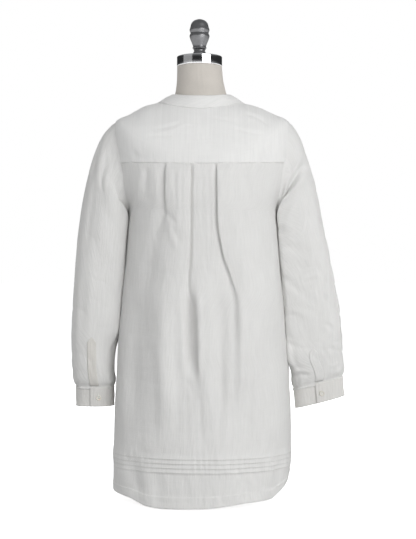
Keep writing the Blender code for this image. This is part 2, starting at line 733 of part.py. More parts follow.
def build_cuff(side, collection):
    """Cuff band, whose end laps over its start."""
    start = LAP_EDGE[side]
    angles = [start + (360.0 + CUFF_OVERLAP) * step / CUFF_COLUMNS for step in range(CUFF_COLUMNS + 1)]
    height = CUFFS[side][-1].along
    return wall_from(f"cuff_{side}", lambda angle, along: cuff_point(side, angle, along), angles,
                     (0.0, height / 2, height), DOUBLE_CLOTH, collection, (0.2, -0.4))


def build_sleeve_placket(side, collection):
    """Narrow pointed strip up the back of a sleeve from the cuff, made from the sleeve's own points."""
    bottom = SLEEVES[side][-1].along - SLEEVE_PLACKET_END
    top = SLEEVE_PLACKET_TOP[side]
    shoulder = top + PLACKET_POINT

    def point_at(across, along):
        row = read_row(SLEEVES[side], along)
        radius = (row.outer - row.inner) / 2
        width = SLEEVE_PLACKET_WIDTH * blend(PLACKET_POINT_SHARE, 1.0, ease((along - top) / PLACKET_POINT))
        middle = LAP_EDGE[side] + math.degrees(SLEEVE_PLACKET_WIDTH / 2 / radius)
        angle = middle + math.degrees(across * width / 2 / radius)
        surface = lambda first, second: sleeve_point(side, first, second)
        return surface(angle, along) + surface_normal(surface, angle, along, 0.2, -0.4) * SLEEVE_PLACKET_LIFT

    stations = [top, (top + shoulder) / 2, shoulder]
    stations += [along for along in SLEEVE_STATIONS if shoulder + PLACKET_POINT / 3 < along < bottom]
    return wall_from(f"sleeve_placket_{side}", point_at, STRIP_SHARES, stations + [bottom], CLOTH,
                     collection, (0.02, -0.4))


def build_front_placket(collection):
    """Strip over the front slit, made from the front's own points."""
    def point_at(across, level):
        angle = CENTRE_FRONT + math.degrees(across * PLACKET_WIDTH / 2 / read_row(LEVELS, level).half_width)
        return lifted_point(angle, level, PLACKET_LIFT)

    return wall_from("front_placket", point_at, STRIP_SHARES, PLACKET_LEVELS, CLOTH, collection,
                     (0.02, 0.5))


def turned_object(name, outline, kind, collection, steps=32):
    """A turned piece from an outline of (radius, height) pairs, top to bottom, in millimetres."""
    mesh = bpy.data.meshes.new(name)
    points = [Vector((radius * MM, 0.0, height * MM)) for radius, height in outline]
    mesh.from_pydata(points, [(i, i + 1) for i in range(len(points) - 1)], [])
    item = bpy.data.objects.new(name, mesh)
    collection.objects.link(item)
    screw = item.modifiers.new("turn", "SCREW")
    screw.steps = screw.render_steps = steps
    screw.use_merge_vertices = True
    screw.merge_threshold = 0.00001
    screw.use_smooth_shade = True
    mesh.materials.append(make_material(kind))
    return item


def place_button(name, seat, normal, collection):
    """A dished button on a seat in millimetres, facing along a normal."""
    button = turned_object(name, BUTTON_OUTLINE, SHELL_BUTTON, collection, steps=12)
    button.rotation_mode = "QUATERNION"
    button.rotation_quaternion = normal.to_track_quat("Z", "Y")
    button.location = (seat + normal * BUTTON_GAP) * MM
    return button


def build_buttons(collection):
    """One button on each cuff and a row down the front placket."""
    for side in ("left", "right"):
        row = read_row(CUFFS[side], CUFFS[side][-1].along * BUTTON_DOWN_CUFF)
        radius = (row.outer - row.inner) / 2
        angle = LAP_EDGE[side] + math.degrees(BUTTON_PAST_EDGE[side] / radius)
        surface = lambda first, second: cuff_point(side, first, second)
        normal = surface_normal(surface, angle, row.along, 0.2, -0.4)
        seat = surface(angle, row.along) + normal * DOUBLE_CLOTH / 2
        place_button(f"cuff_button_{side}", seat, normal, collection)
    for number in range(FRONT_BUTTONS):
        level = blend(FIRST_BUTTON_LEVEL, LAST_BUTTON_LEVEL, number / (FRONT_BUTTONS - 1))
        normal = body_normal(CENTRE_FRONT, level)
        seat = lifted_point(CENTRE_FRONT, level, PLACKET_LIFT + CLOTH / 2)
        place_button(f"front_button_{number + 1}", seat, normal, collection)


def form_point(angle, level, extra):
    """Point of the form just under the yoke, and further under the front."""
    under_yoke = DOUBLE_CLOTH / 2 - YOKE_LIFT + FORM_GAP
    front = FORM_FRONT_INSET * max(0.0, -math.cos(math.radians(angle)))
    return lifted_point(angle, level, -under_yoke - extra - front)


def build_form_body(collection):
    """Covered body and neck of the dress form, under the yoke at the shoulders."""
    angles = ring_angles(FORM_COLUMNS)
    rings = [[section_point(row, angle) for angle in angles] for row in FORM_NECK]
    for level, extra in FORM_UPPER:
        rings.append([form_point(signed(angle), level, extra) for angle in angles])
    rings += [[section_point(row, angle) for angle in angles] for row in FORM_LOWER]
    count = len(angles)
    faces = []
    for row in range(len(rings) - 1):
        for column in range(count):
            here, beside = row * count + column, row * count + (column + 1) % count
            faces.append((here, here + count, beside + count, beside))
    faces.append(tuple(range(count)))
    faces.append(tuple(reversed(range((len(rings) - 1) * count, len(rings) * count))))
    mesh = bpy.data.meshes.new("form_body")
    mesh.from_pydata([point * MM for ring in rings for point in ring], [], faces)
    return add_object("form_body", mesh, FORM_CLOTH, collection, FORM_SHARP_ANGLE)


def build_form_fittings(collection):
    """Bright band, cap and finial on the neck; disc, column and plate below."""
    seat = FORM_NECK[0].level + PART_GAP
    inner = RING_RADIUS - RING_WALL
    band_outline = (
        (inner, RING_TOP - RING_BEVEL), (inner + RING_BEVEL, RING_TOP),
        (RING_RADIUS - RING_BEVEL, RING_TOP), (RING_RADIUS, RING_TOP - RING_BEVEL),
        (RING_RADIUS, seat), (inner, seat), (inner, RING_TOP - RING_BEVEL),
    )
    band = turned_object("neck_band", band_outline, BRIGHT_METAL, collection, steps=40)
    cap_top = RING_TOP - CAP_RECESS
    cap_radius = inner - PART_GAP
    cap_outline = ((0.0, cap_top), (cap_radius, cap_top), (cap_radius, seat), (0.0, seat))
    cap = turned_object("neck_cap", cap_outline, SILVER_PAINT, collection, steps=40)
    foot = cap_top + PART_GAP
    finial_outline = [(0.0, foot + FINIAL_TOP)] + [(radius, foot + up) for up, radius in reversed(FINIAL)]
    finial = turned_object("finial", finial_outline + [(0.0, foot)], SILVER_PAINT, collection, steps=18)
    for piece in (band, cap, finial):
        piece.location.x = NECK_SHIFT * MM
    disc_outline = (
        (0.0, DISC_TOP), (DISC_RADIUS - EDGE_BEVEL, DISC_TOP), (DISC_RADIUS, DISC_TOP - EDGE_BEVEL),
        (DISC_RADIUS, DISC_BOTTOM + EDGE_BEVEL), (DISC_RADIUS - EDGE_BEVEL, DISC_BOTTOM),
        (0.0, DISC_BOTTOM),
    )
    turned_object("base_disc", disc_outline, WOOD, collection)
    column_top, column_foot = DISC_BOTTOM - PART_GAP, PLATE_HEIGHT + PART_GAP
    column_outline = (
        (0.0, column_top), (COLUMN_RADIUS, column_top), (COLUMN_RADIUS, column_foot), (0.0, column_foot),
    )
    turned_object("column", column_outline, BLACK_STEEL, collection, steps=24)
    plate_outline = (
        (0.0, PLATE_HEIGHT), (PLATE_RADIUS - EDGE_BEVEL, PLATE_HEIGHT),
        (PLATE_RADIUS, PLATE_HEIGHT - EDGE_BEVEL), (PLATE_RADIUS, 0.0), (0.0, 0.0),
    )
    turned_object("base_plate", plate_outline, BLACK_STEEL, collection, steps=40)


def main():
    for item in list(bpy.data.objects):
        bpy.data.objects.remove(item, do_unlink=True)
    collection = bpy.data.collections.new("smock_on_form")
    bpy.context.scene.collection.children.link(collection)
    build_back_panel(collection)
    build_front_panel(collection)
    build_yoke(collection)
    build_collar(collection)
    for side in ("left", "right"):
        build_sleeve(side, collection)
        build_cuff(side, collection)
        build_sleeve_placket(side, collection)
    build_front_placket(collection)
    build_buttons(collection)
    build_form_body(collection)
    build_form_fittings(collection)


main()
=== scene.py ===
"""The finished look of a white linen smock worn by a limbless dress form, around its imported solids.

Tables and surfaces are in millimetres and meshes in metres. The garment's back faces -Y.
An angle round the body or a sleeve is in degrees from the middle of the back, positive towards +X.
A level names a line round the body by its height at the middle of the back.
"""

import json
import math
from collections import namedtuple

import bpy
import numpy as np
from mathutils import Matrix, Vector

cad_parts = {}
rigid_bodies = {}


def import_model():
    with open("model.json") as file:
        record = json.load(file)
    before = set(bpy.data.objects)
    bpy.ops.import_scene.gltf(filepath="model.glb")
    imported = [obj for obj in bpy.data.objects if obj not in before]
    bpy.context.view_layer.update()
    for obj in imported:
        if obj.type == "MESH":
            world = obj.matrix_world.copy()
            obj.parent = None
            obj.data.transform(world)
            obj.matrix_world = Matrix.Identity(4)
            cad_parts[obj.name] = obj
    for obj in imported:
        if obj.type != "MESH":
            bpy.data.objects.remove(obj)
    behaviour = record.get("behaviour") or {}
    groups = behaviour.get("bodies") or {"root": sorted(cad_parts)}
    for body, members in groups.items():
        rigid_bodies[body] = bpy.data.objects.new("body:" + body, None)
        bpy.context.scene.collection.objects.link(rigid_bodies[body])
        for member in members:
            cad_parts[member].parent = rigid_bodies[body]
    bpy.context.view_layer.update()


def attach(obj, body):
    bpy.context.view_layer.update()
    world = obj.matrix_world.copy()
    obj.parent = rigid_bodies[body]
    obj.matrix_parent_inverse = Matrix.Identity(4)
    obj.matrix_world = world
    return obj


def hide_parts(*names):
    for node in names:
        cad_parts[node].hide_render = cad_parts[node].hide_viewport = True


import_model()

MM = 0.001
SIDE_SEAM = 90.0
CENTRE_FRONT = 180.0

# Cloth: how far its outer face lies out of the solid's middle, and its thickness
SOLID_HALF = 0.6
DOUBLE_HALF = 0.85
SINGLE_THICK = 0.5
DOUBLE_THICK = 1.0

NECK_LEVEL = 828.0
YOKE_LEVEL = 708.0
ARMPIT_LEVEL = 612.0
HEM_FRONT = 24.0
HEM_CORNER = 5


def listed(kind, *rows):
    """A table: a named row for each tuple of its values."""
    return tuple(kind(*row) for row in rows)


# The body, a row for each level: its height at the sides and the front, half width, depths,
# roundness (2 is an ellipse) and shift across
Level = namedtuple("Level", "level side front half_width back_depth front_depth power shift")
LEVELS = listed(
    Level,
    (828, 847, 800, 89, 70, 72, 2, 1), (810, 840, 784, 117, 84, 86, 2.05, 2),
    (782, 823, 760, 152, 101, 99, 2.15, 3.5), (740, 806, 728, 184, 119, 110, 2.3, 5),
    (726, 782, 716, 190, 124, 114, 2.32, 5.2), (708, 716, 700, 186, 128, 117, 2.35, 5.5),
    (660, 660, 660, 178, 133, 123, 2.3, 5), (612, 612, 612, 160, 135, 126, 2.3, 5),
    (540, 540, 540, 164, 135, 126, 2.3, 6), (425, 425, 425, 174, 138, 128, 2.3, 6),
    (330, 330, 330, 180, 142, 133, 2.3, 5), (187, 187, 187, 188, 149, 141, 2.3, 6.5),
    (90, 90, 90, 190, 154, 146, 2.3, 5), (0, 0, 0, 188, 155, 147, 2.3, 3),
)

# Height of the hem's edge round the back, by the angle from its middle
Hem = namedtuple("Hem", "angle height")
HEM = listed(
    Hem,
    (-90, 24), (-80, 23.6), (-62, 22.5), (-50, 19.5), (-42, 13), (-34, 6.6), (-22, 3.2), (0, 5),
    (12, 9.5), (27, 14.5), (40, 15.5), (48, 17.5), (56, 26), (68, 39), (80, 52), (90, 58),
)

# Edge of an armhole: turn from its top, level, and angles from the side to the back and the front
Edge = namedtuple("Edge", "turn level back front")
ARMHOLE = listed(
    Edge,
    (0, 740, 0, 0), (15, 738, 7, 6), (30, 733, 13, 12), (45, 726, 18, 17), (60, 719, 21.5, 21.5),
    (75, 713.5, 23.5, 25), (90, 708, 25, 28), (105, 690, 26, 30), (120, 668, 25, 29),
    (135, 645, 21, 24.5), (150, 627, 15, 17), (165, 616, 8, 9), (180, 612, 0, 0),
)
EdgeLevel = namedtuple("EdgeLevel", "level back front")
ARMHOLE_BY_LEVEL = [EdgeLevel(edge.level, edge.back, edge.front) for edge in ARMHOLE]

# Pleats of the back, a row for each height: place, rise across the fold, doubling, run and trough
Fold = namedtuple("Fold", "level place rise doubling run trough trough_run")
LEFT_PLEAT_OUTER = listed(
    Fold,
    (708, -66, 5.2, 7.5, 12, 0, 14), (660, -66, 7.8, 7.5, 12, 0, 14),
    (612, -67, 7.2, 4.4, 12, 2, 16), (570, -78, 5.4, 0.9, 14, 4, 20),
    (500, -97, 4.4, 0, 15, 6.5, 24), (400, -118, 3.4, 0, 16, 7.5, 26),
    (300, -124, 2.2, 0, 18, 7, 28), (150, -128, 0.6, 0, 18, 4, 30), (0, -130, 0, 0, 18, 1, 32),
)
LEFT_PLEAT_INNER = listed(
    Fold,
    (708, -22, -5.2, 7.5, 12, 0, 12), (600, -22, -7.8, 7.5, 12, 0, 12),
    (520, -24, -7.8, 7, 12, 0.5, 14), (460, -30, -6, 4.4, 13, 3.5, 16),
    (400, -26, -3, 0.4, 15, 8, 20), (300, -16, -1.2, 0, 18, 7.5, 24), (200, -9, 0, 0, 18, 4, 28),
    (100, 2, 0, 0, 18, 1.5, 30), (0, 2, 0, 0, 18, 0, 30),
)
RIGHT_PLEAT_INNER = listed(
    Fold,
    (708, 38, 5.2, 7.5, 12, 0, 12), (600, 39, 7.8, 7.5, 12, 0, 12), (525, 49, 7.8, 7, 12, 0.5, 14),
    (470, 66, 7.4, 4.8, 12, 3.5, 18), (410, 80, 6.4, 0.4, 12, 5, 22), (320, 82, 3, 0, 13, 3, 26),
    (220, 82, 1, 0, 16, 2.5, 30), (120, 88, 0, 0, 18, 2, 32), (0, 90, 0, 0, 18, 0, 32),
)
PLEATS = (LEFT_PLEAT_OUTER, LEFT_PLEAT_INNER, RIGHT_PLEAT_INNER)
FOLD_STEPS = 20
FLAT_STEPS = (30, 16, 14, 46)
RIGHT_FADE = 58.0
UNDER_SINK = 0.45
STRIP_SINK = 1.1
STRIP_SINK_RUN = 4.0
DIP_LIMIT = 0.9
PRESSED_SHARE = 0.08
PRESSED_RUN = 17.0
FOLD_GROOVES = (2.2, 6.0, 2.2)
GROOVE_RUNS = (0.17, 0.115, 0.15)
GROOVE_FULL = 7.5
GROOVE_PLACE = 0.74
SEAM_FADE = 20.0

WAVE_DEPTH = 3.0
WAVE_COUNT = 5.0
WAVE_TURN = 40.0
WAVE_TOP = 420.0

TUCKS = 4
TOP_TUCK_EDGE = 104.5
TUCK_PITCH = 9.2
TUCK_RISE = 1.05
TUCK_RIB = 1.0
TUCK_STEP = 0.8
TUCK_END = TOP_TUCK_EDGE - (TUCKS - 1) * TUCK_PITCH - TUCK_STEP

# Sleeves, a row for each ring along them: outer and inner line, half depth, set forward, roundness
Ring = namedtuple("Ring", "along outer outer_z inner inner_z half_depth forward power")
LEFT_SLEEVE = listed(
    Ring,
    (0, 179, 806, 156, 612, 65, 0, 2), (16, 191, 797, 159, 606, 65, 0, 2),
    (36, 204, 783, 161, 597, 65, 0, 2), (62, 216, 763, 161, 585, 64, 0, 2.1),
    (100, 229, 731, 161, 568, 63, 1, 2.2), (150, 241, 686, 163, 545, 61, 2, 2.2),
    (230, 256, 608, 165, 508, 59, 3, 2.2), (320, 267, 516, 170, 455, 56, 4, 2.2),
    (420, 274, 412, 177, 385, 53, 5, 2.2), (490, 277, 342, 181, 330, 51, 5, 2.2),
    (545, 275, 285, 184, 282, 48, 5, 2.2), (572, 270, 258, 185, 258, 42, 4, 2.2),
    (590, 267, 241, 185, 242, 34, 3, 2.2),
)
RIGHT_SLEEVE = listed(
    Ring,
    (0, 189, 806, 166, 612, 65, 0, 2), (16, 199, 796, 169, 606, 65, 0, 2),
    (36, 209, 781, 171, 597, 65, 0, 2), (62, 219, 761, 171, 585, 64, 0, 2.1),
    (100, 230, 729, 173, 568, 63, 0, 2.2), (150, 243, 686, 175, 545, 61, 0, 2.2),
    (230, 259, 606, 178, 508, 58, -1, 2.2), (320, 281, 512, 184, 455, 53, -2, 2.2),
    (420, 300, 405, 189, 380, 47, -3, 2.2), (490, 307, 342, 192, 322, 42, -4, 2.2),
    (545, 308, 300, 196, 276, 36, -5, 2.2), (572, 307, 280, 199, 255, 31, -5, 2.2),
    (590, 306, 263, 200, 237, 25, -5, 2.2),
)
LEFT_CUFF = listed(
    Ring,
    (0, 266.5, 240, 185, 240, 33, 3, 2.2), (42, 266, 198.5, 185, 198.5, 32, 2, 2.2),
)
RIGHT_CUFF = listed(
    Ring,
    (0, 306.5, 262.1, 200.5, 236.1, 24, -5, 2.2), (42, 309.5, 220.5, 205, 193.5, 23, -6, 2.2),
)
HANDS = {"left": -1.0, "right": 1.0}
SLEEVES = {"left": LEFT_SLEEVE, "right": RIGHT_SLEEVE}
CUFFS = {"left": LEFT_CUFF, "right": RIGHT_CUFF}
SLEEVE_END = 590.0
SLEEVE_COLUMNS = 112
SLEEVE_STEP = 3.4
SLEEVE_ROWS = np.concatenate([
    [0.0, 1.5, 3.0, 5.0, 7.5], np.arange(10.0, SLEEVE_END - 2.0, SLEEVE_STEP),
    [SLEEVE_END, SLEEVE_END + 3.0, SLEEVE_END + 6.0],
])
SLEEVE_FREE = {"left": 452.0, "right": 520.0}
SLEEVE_FREE_RUN = 60.0
ARMHOLE_BLEND = 90.0
SLEEVE_GAP = 0.9
SLEEVE_UNDER = 1.6
SLEEVE_TUCKED = 4.0
SLEEVE_TUCKED_IN = 1.5
SLEEVE_TUCK_RUN = 9.0
GATHERS = 8
GATHER_DEPTH = 1.8
GATHER_RUN = 60.0
CUFF_COLUMNS = 120
CUFF_ROWS = 15
CUFF_OVERLAP = 34.0
CUFF_LAP_FADE = 40.0
CUFF_LAP_RISE = 1.2
LAP_EDGE = {"left": -9.0, "right": -8.0}
BUTTON_PAST_EDGE = {"left": 18.0, "right": 13.0}
BUTTON_DOWN_CUFF = 0.55
SLEEVE_PLACKET_WIDTH = 19.0
SLEEVE_PLACKET_TOP = {"left": 478.0, "right": 500.0}
SLEEVE_PLACKET_POINT = 12.0
SLEEVE_PLACKET_STEP = 2.6
SLEEVE_PLACKET_COLUMNS = 15
SLEEVE_PLACKET_LIFT = 1.15
PLACKET_TURN = 12.0
PLACKET_FADE = 20.0

COLLAR_TOP = Level(855.5, 864, 828, 64, 59, 62, 2.0, 3.0)
COLLAR_LIFT = 1.5
COLLAR_LAP = 8.0
COLLAR_LAP_FADE = 24.0
COLLAR_LAP_RISE = 1.4
COLLAR_BOW = 1.5
COLLAR_UNDER = 0.075
COLLAR_RUN = 1.3
COLLAR_COLUMNS = 150
COLLAR_ROWS = 15

PLACKET_WIDTH = 28.0
PLACKET_TOP = 826.0
PLACKET_BOTTOM = 560.0
PLACKET_ROWS, PLACKET_COLUMNS = 90, 21
PLACKET_LIFT = 1.35
FRONT_BUTTONS = 4
FIRST_BUTTON_LEVEL = 798.0
LAST_BUTTON_LEVEL = 600.0

YOKE_FRONT_NECK = 112.0
YOKE_FRONT_TURN = 30.0
YOKE_CORNER_SHARE = 7.0 / 15.0
YOKE_LIFT = 0.6
YOKE_COLUMNS = 170
YOKE_ROWS = 56
SEAM_GAP = 0.4

FORM_GAP = 1.0
FORM_COLUMNS = 96
FORM_SEAM_RADIUS = 49.0
FORM_NECK_FOOT = 840.0
FORM_NECK_ROWS, FORM_UPPER_ROWS, FORM_LOWER_ROWS = 24, 24, 60
# How much further the form's upper part lies under the cloth
Under = namedtuple("Under", "level extra")
FORM_UPPER = listed(
    Under,
    (824, 0.3), (810, 0), (794, 0), (774, 0.5), (752, 2), (734, 5), (712, 8),
)
FORM_FRONT_INSET = 2.5
FORM_LOWER = listed(
    Level,
    (672, 672, 672, 156, 116, 110, 2.2, 4), (620, 620, 620, 146, 116, 115, 2.2, 4),
    (540, 540, 540, 132, 104, 108, 2.1, 3.5), (450, 450, 450, 119, 92, 94, 2.1, 3),
    (370, 370, 370, 130, 96, 98, 2.1, 3), (280, 280, 280, 150, 108, 104, 2.1, 3),
    (200, 200, 200, 156, 114, 106, 2.1, 3), (97, 97, 97, 148, 110, 102, 2.1, 3),
)
FORM_NECK = listed(
    Level,
    (926, 926, 926, 48, 48, 48, 2, -1), (900, 900, 900, 49.5, 49, 49, 2, 0),
    (872, 872, 872, 54, 52, 52, 2, 1.5), (850, 858, 836, 59, 55, 55, 2, 2),
    (834, 852, 808, 74, 62, 61, 2, 1.5),
)
NECK_SHIFT = -1.0
RING_TOP = 947.0
RING_FOOT = 926.3
RING_RADIUS = 48.4
RING_WALL = 1.6
CAP_TOP = 945.9

# Outline of the finial: height above its foot, radius
Turned = namedtuple("Turned", "height radius")
FINIAL = listed(
    Turned,
    (0, 15.2), (5, 14.6), (9.5, 13.7), (12, 12.2), (14.8, 11.9), (17, 13.6), (19.8, 15.1),
    (22.5, 14), (28, 15.6), (34, 18), (40, 20.3), (45.7, 21.5), (48.7, 20.5), (51.5, 19.4),
    (54.7, 20.5), (58.6, 21.5), (61.8, 20.7), (64.4, 19.8), (71, 18.2), (75.5, 15.4), (79, 11),
    (81.2, 5),
)
FINIAL_EDGES = (9.5, 14.8, 22.5, 51.5, 64.4)
FINIAL_ROWS = 104
FINIAL_TOP = 82.0
FINIAL_FOOT = 946.3

# Creases: from (u0, v0) to (u1, v1) in millimetres, bowed aside, with a depth (below 0 a trough)
# On the body u runs across and v up. On a sleeve u runs round from its back's middle, v down it
Crease = namedtuple("Crease", "u0 v0 u1 v1 bow depth width")
BACK_CREASES = listed(
    Crease,
    (-123, 712, -120, 612, 3, 1.6, 8), (-109, 712, -111, 640, 0, -1.5, 5),
    (-92, 716, -88, 600, -3, 1.8, 8), (-150, 700, -139, 560, 6, -1.6, 9),
    (-72, 616, -44, 582, 3, -1.2, 4), (-66, 600, -38, 520, 5, 0.9, 6),
    (-6, 712, -8, 520, 2, -0.7, 2.6), (5, 712, 6, 560, -1, -0.6, 2.4),
    (17, 712, 22, 500, -2, -0.8, 2.8), (-50, 712, -48, 600, 0, -0.5, 3),
    (-36, 712, -36, 560, 1, -0.5, 3), (72, 712, 74, 650, 0, -1.3, 4),
    (99, 714, 97, 640, 0, -1.9, 5), (61, 640, 96, 400, -9, 1.5, 9),
    (96, 440, 118, 190, -5, 1.7, 12), (120, 700, 132, 420, 5, -1.1, 12),
    (145, 600, 150, 330, 2, -1.4, 10), (-72, 460, -66, 170, 6, 2.6, 17),
    (14, 470, 20, 190, -3, 1.2, 13), (-45, 330, -40, 120, 3, -1.3, 7),
    (44, 300, 40, 118, 0, -1.3, 8), (110, 330, 100, 118, 6, -1.7, 9),
    (-92, 350, -96, 116, -4, -1.3, 8), (-106, 112, -104, -10, 0, 2.6, 13),
    (-140, 118, -124, 20, 4, -3, 13), (-160, 330, -150, 110, 4, 1.6, 10),
    (143, 112, 138, 10, 0, 1.8, 12), (168, 150, 160, 40, -3, -1.8, 9),
    (-30, 78, -26, 0, 0, -1.2, 8), (48, 78, 52, 0, 2, -1.2, 9), (96, 76, 90, 2, 0, -0.8, 7),
    (-70, 78, -64, 0, 0, 0.9, 9), (45, 475, 41, 175, 2, -10, 17), (83, 466, 85, 190, -3, 6.5, 9),
    (-25, 466, -17, 262, -2, -7.8, 9), (-4, 462, 1, 255, -3, 5.5, 6),
    (-138, 470, -134, 165, 3, -3, 16), (-76, 445, -66, 130, 2, 3.2, 17),
    (34, 420, 30, 170, 0, 1.2, 14), (108, 400, 116, 150, 3, 1.6, 12),
    (-30, 250, -26, 110, -2, -0.9, 5), (2, 240, 8, 120, 2, -1, 5), (60, 240, 52, 108, 2, 0.9, 5),
    (105, 74, 108, 4, 0, 1.4, 4),
)
FRONT_CREASES = listed(
    Crease,
    (-34, 548, -52, 300, 6, -2.4, 12), (40, 548, 60, 280, -6, -2.6, 12), (4, 552, 6, 360, 2, 2, 12),
    (-92, 690, -70, 520, -8, -1.6, 9), (98, 690, 78, 540, 8, -1.8, 9),
    (-128, 640, -96, 480, -7, -2.2, 10), (136, 640, 110, 470, 7, -1.9, 10),
    (-20, 560, -80, 500, 6, -1.2, 6), (22, 560, 86, 510, -6, -1.2, 6),
    (-60, 430, -84, 150, 6, 2, 15), (24, 430, 20, 150, -3, 1.8, 15), (88, 420, 112, 150, -7, 2, 15),
    (-118, 400, -128, 120, 4, -2, 12), (-22, 330, -28, 118, 3, -1.6, 10),
    (66, 330, 60, 118, -2, -1.6, 10), (134, 360, 140, 120, -4, -1.8, 11),
    (-62, 770, -40, 700, 5, -0.9, 6), (64, 770, 46, 706, -5, -0.9, 6),
    (-50, 76, -46, 4, 0, -1.2, 9), (36, 76, 42, 6, 0, -1.2, 9), (110, 80, 108, 20, 0, 1.4, 11),
    (-112, 80, -112, 10, 0, 1.6, 11),
)
YOKE_CREASES = listed(
    Crease,
    (92, 818, 150, 786, -5, -1.8, 4), (56, 788, 140, 770, 4, -1.2, 3.5),
    (-104, 780, -32, 798, 5, -1.3, 4), (-122, 762, -50, 764, -4, -1.2, 4),
    (-40, 786, -10, 790, 2, -0.98, 2.5), (28, 808, 62, 800, 2, -0.98, 3),
    (-140, 740, -124, 716, 2, -1.8, 5), (132, 752, 152, 722, -3, -1.6, 5),
    (-14, 770, 60, 746, 4, -0.78, 4), (70, 760, 128, 738, 4, 1.2, 5),
)
LEFT_SLEEVE_CREASES = listed(
    Crease,
    (-4, 20, -6, 300, 4, 1.8, 11), (66, 40, 56, 150, -4, -2.2, 8), (26, 30, 12, 130, 4, -2.4, 7),
    (-14, 36, -10, 170, 3, 2.2, 7), (38, 110, 34, 320, -4, -1.3, 8),
    (-40, 60, -46, 330, -5, -1.2, 12), (-62, 210, -50, 420, 4, 1, 9), (18, 300, 22, 520, 4, -1, 9),
    (-24, 330, -34, 560, -4, -1, 8), (48, 330, 40, 560, 3, 1, 9), (-120, 60, -128, 260, 8, -2, 13),
    (-150, 150, -132, 380, -8, -2, 12), (-100, 220, -84, 400, 6, -1.6, 10),
    (120, 90, 150, 240, 8, -2.4, 12), (146, 260, 120, 420, 8, -1.8, 11),
    (-90, 400, -104, 560, 4, -1.4, 9), (100, 380, 92, 560, -4, -1.4, 9),
    (-176, 380, -150, 470, 6, -1.6, 10),
)
RIGHT_SLEEVE_CREASES = listed(
    Crease,
    (-96, 20, 66, 118, 14, -6, 9), (-66, 44, 56, 148, 12, 2.6, 10), (-62, 60, -52, 170, 6, -4, 8),
    (-50, 120, -20, 210, 5, -2, 7), (4, 100, -22, 190, -5, 1.6, 7), (38, 150, -8, 238, 6, -1.2, 5),
    (-38, 210, 6, 290, 5, -1.3, 6), (-52, 240, -46, 420, 3, -1.8, 6),
    (30, 215, 44, 330, -5, -1.1, 7), (-30, 330, 2, 402, 4, -1.2, 5), (14, 360, 46, 410, 4, 1, 5),
    (-16, 420, -10, 505, 3, -1.6, 5), (-40, 440, -28, 560, 3, -1.2, 5),
    (34, 440, 26, 520, -3, -1.3, 5), (52, 400, 50, 530, 4, -1, 6), (20, 300, 40, 350, 3, 1.3, 5),
    (-46, 300, -20, 352, 4, -1.2, 5), (-10, 330, 26, 340, 3, 1.1, 5),
    (44, 330, 18, 400, 3, -1.4, 5), (-30, 392, 6, 440, 3, 1.2, 5), (10, 440, 46, 470, 3, -1.3, 5),
    (-52, 470, -22, 500, 3, -1.3, 5), (30, 490, 52, 540, 3, 1.3, 5), (8, 500, 28, 556, 2, -1.5, 4),
    (-64, 552, -14, 560, 5, 2.2, 5), (-64, 566, -12, 574, 5, -1.8, 4),
    (22, 556, 60, 548, -4, 1.6, 4), (24, 568, 62, 562, -4, -1.4, 3.5),
    (90, 60, 120, 240, -8, -2.2, 12), (128, 170, 96, 360, -8, -2, 11),
    (84, 300, 100, 470, 5, -1.6, 9), (-120, 90, -150, 240, -8, -2.4, 12),
    (-146, 260, -120, 420, -8, -1.8, 11), (104, 460, 88, 560, -4, -1.4, 8),
    (-98, 420, -108, 560, 4, -1.4, 9), (170, 380, 150, 470, 6, -1.6, 10),
)
SLEEVE_CREASES = {"left": LEFT_SLEEVE_CREASES, "right": RIGHT_SLEEVE_CREASES}
SLEEVE_RADIUS = 62.0
SLEEVE_CRUMPLE = {"left": 0.65, "right": 1.3}

# Fine unevenness, in layers: amount, cell size and step of the seed. Below 0 the layer is crumple
PANEL_WEAR = ((1.1, (48, 150, 60), 0), (0.5, (17, 60, 30), 1), (0.22, (7.5, 30, 30), 4),
              (-0.55, (34, 75, 60), 2), (-0.35, (60, 34, 60), 3))
YOKE_WEAR = ((0.9, (70, 34, 60), 0), (0.45, (30, 14, 30), 1), (-0.75, (60, 30, 60), 2))
COLLAR_WEAR = ((0.5, (30, 30, 14), 0), (0.2, (9, 9, 7), 1))
SLEEVE_WEAR = ((1.3, (46, 46, 70), 0), (0.6, (18, 18, 30), 1), (-1.1, (34, 34, 36), 2),
               (-0.7, (18, 18, 24), 3))
CUFF_WEAR = ((0.6, 22, 0), (0.25, 8, 1), (-0.4, 20, 2))
TUCK_WEAR = ((1.0, (6, 4, 10), 0), (0.7, (12, 6, 10), 1))
BACK_SEED, FRONT_SEED, YOKE_SEED, COLLAR_SEED = 11, 51, 71, 81
SLEEVE_SEEDS = {"left": 101, "right": 121}
CUFF_SEEDS = {"left": 141, "right": 151}
BACK_RUMPLE = 1.3
FRONT_RUMPLE = 0.75

# Rows, edges and relief of the panels and cuffs, pitch of the weave and set of the buttons
ROW_STEP = 4.3
BACK_UNDER = 8.0
HEM_FOLD = 26.0
HEM_RISE = 0.5
HEM_PUCKER = 1.7
PUCKER = 0.5
SEAM_RIDGE = 0.45
FRONT_COLUMNS = 130
FRONT_UNDER_YOKE = 1.6
FRONT_UNDER_SIDE = 0.9
BODY_CLEAR = 0.9
CUFF_PUFF = 2.2
CUFF_INSET = 2.6
WEAVE_PITCH = 0.8
BUTTON_GAP = 0.35

